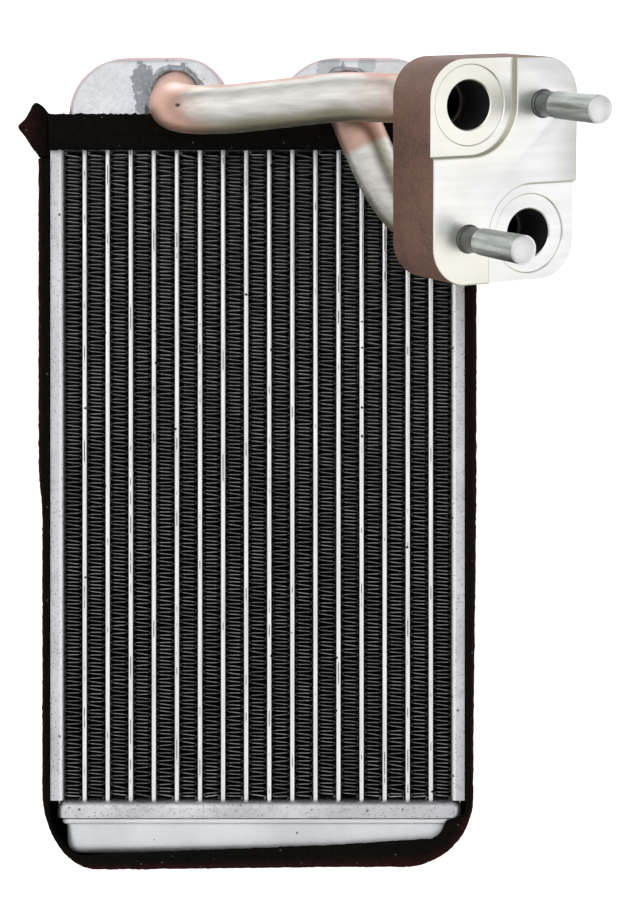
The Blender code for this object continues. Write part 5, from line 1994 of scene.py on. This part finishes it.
def add_camera():
    """Look straight down at the core's face, from 800 mm above the photographed plane."""
    camera = bpy.data.cameras.new("camera")
    camera.sensor_width = 36.0
    camera.lens = FOCAL_PIXELS / IMAGE_HEIGHT * camera.sensor_width
    camera.clip_start = 0.05
    camera.clip_end = 20.0
    holder = bpy.data.objects.new("camera", camera)
    holder.location = CORE + CAMERA_PLACE
    bpy.context.scene.collection.objects.link(holder)
    bpy.context.scene.camera = holder


class HEATERCORE_OT_stage(bpy.types.Operator):
    """Add the floor, the lamps, the world and the camera"""

    bl_idname = "heater_core.stage"
    bl_label = "Stage"

    def execute(self, context):
        scene = context.scene
        low, high = (np.array(corner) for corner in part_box("foam_wrap"))
        low, high = low + MASK_INSET, high - MASK_INSET
        ends = (-FLOOR_HALF, FLOOR_HALF)
        grid = np.array([[(x, y, -FLOOR_DROP) for x in ends] for y in ends])
        mesh = grid_mesh("floor", grid, wrap_columns=False)
        mesh.materials.append(floor_finish(low, high))
        floor = bpy.data.objects.new("floor", mesh)
        scene.collection.objects.link(floor)
        studio_world()
        for lamp in LAMPS:
            add_lamp(*lamp)
        add_camera()
        scene.view_settings.view_transform = "Standard"
        return {"FINISHED"}


OPERATORS = (
    HEATERCORE_OT_tubes,
    HEATERCORE_OT_fins,
    HEATERCORE_OT_side_plates,
    HEATERCORE_OT_header_plates,
    HEATERCORE_OT_lower_tank,
    HEATERCORE_OT_upper_tanks,
    HEATERCORE_OT_pipes,
    HEATERCORE_OT_joints,
    HEATERCORE_OT_block,
    HEATERCORE_OT_studs,
    HEATERCORE_OT_foam,
    HEATERCORE_OT_stage,
)

GROUPS = {
    "heater_core_sizes": HeaterCoreSizes,
    "heater_core_tanks": HeaterCoreTanks,
    "heater_core_pipes": HeaterCorePipes,
    "heater_core_block": HeaterCoreBlock,
    "heater_core_foam": HeaterCoreFoam,
    "heater_core_finishes": HeaterCoreFinishes,
}


class HEATERCORE_PT_pieces(bpy.types.Panel):
    """The heater core's pieces and stage."""

    bl_label = "Heater Core"
    bl_idname = "HEATERCORE_PT_pieces"
    bl_space_type = "VIEW_3D"
    bl_region_type = "UI"
    bl_category = "Heater Core"

    def draw(self, context):
        column = self.layout.column()
        for operator in OPERATORS:
            column.operator(operator.bl_idname)


def register():
    """Register the classes and put the property groups on the scene."""
    for group in GROUPS.values():
        bpy.utils.register_class(group)
    for operator in OPERATORS:
        bpy.utils.register_class(operator)
    bpy.utils.register_class(HEATERCORE_PT_pieces)
    for name, group in GROUPS.items():
        setattr(bpy.types.Scene, name, bpy.props.PointerProperty(type=group))


def unregister():
    """Take the property groups off the scene and unregister the classes."""
    for name in GROUPS:
        delattr(bpy.types.Scene, name)
    bpy.utils.unregister_class(HEATERCORE_PT_pieces)
    for operator in reversed(OPERATORS):
        bpy.utils.unregister_class(operator)
    for group in reversed(GROUPS.values()):
        bpy.utils.unregister_class(group)


def main():
    """Add every piece in order."""
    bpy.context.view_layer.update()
    register()
    bpy.ops.heater_core.tubes()
    bpy.ops.heater_core.fins()
    bpy.ops.heater_core.side_plates()
    bpy.ops.heater_core.header_plates()
    bpy.ops.heater_core.lower_tank()
    bpy.ops.heater_core.upper_tanks()
    bpy.ops.heater_core.pipes()
    bpy.ops.heater_core.joints()
    bpy.ops.heater_core.block()
    bpy.ops.heater_core.studs()
    bpy.ops.heater_core.foam()
    bpy.ops.heater_core.stage()


if __name__ == "__main__":
    main()
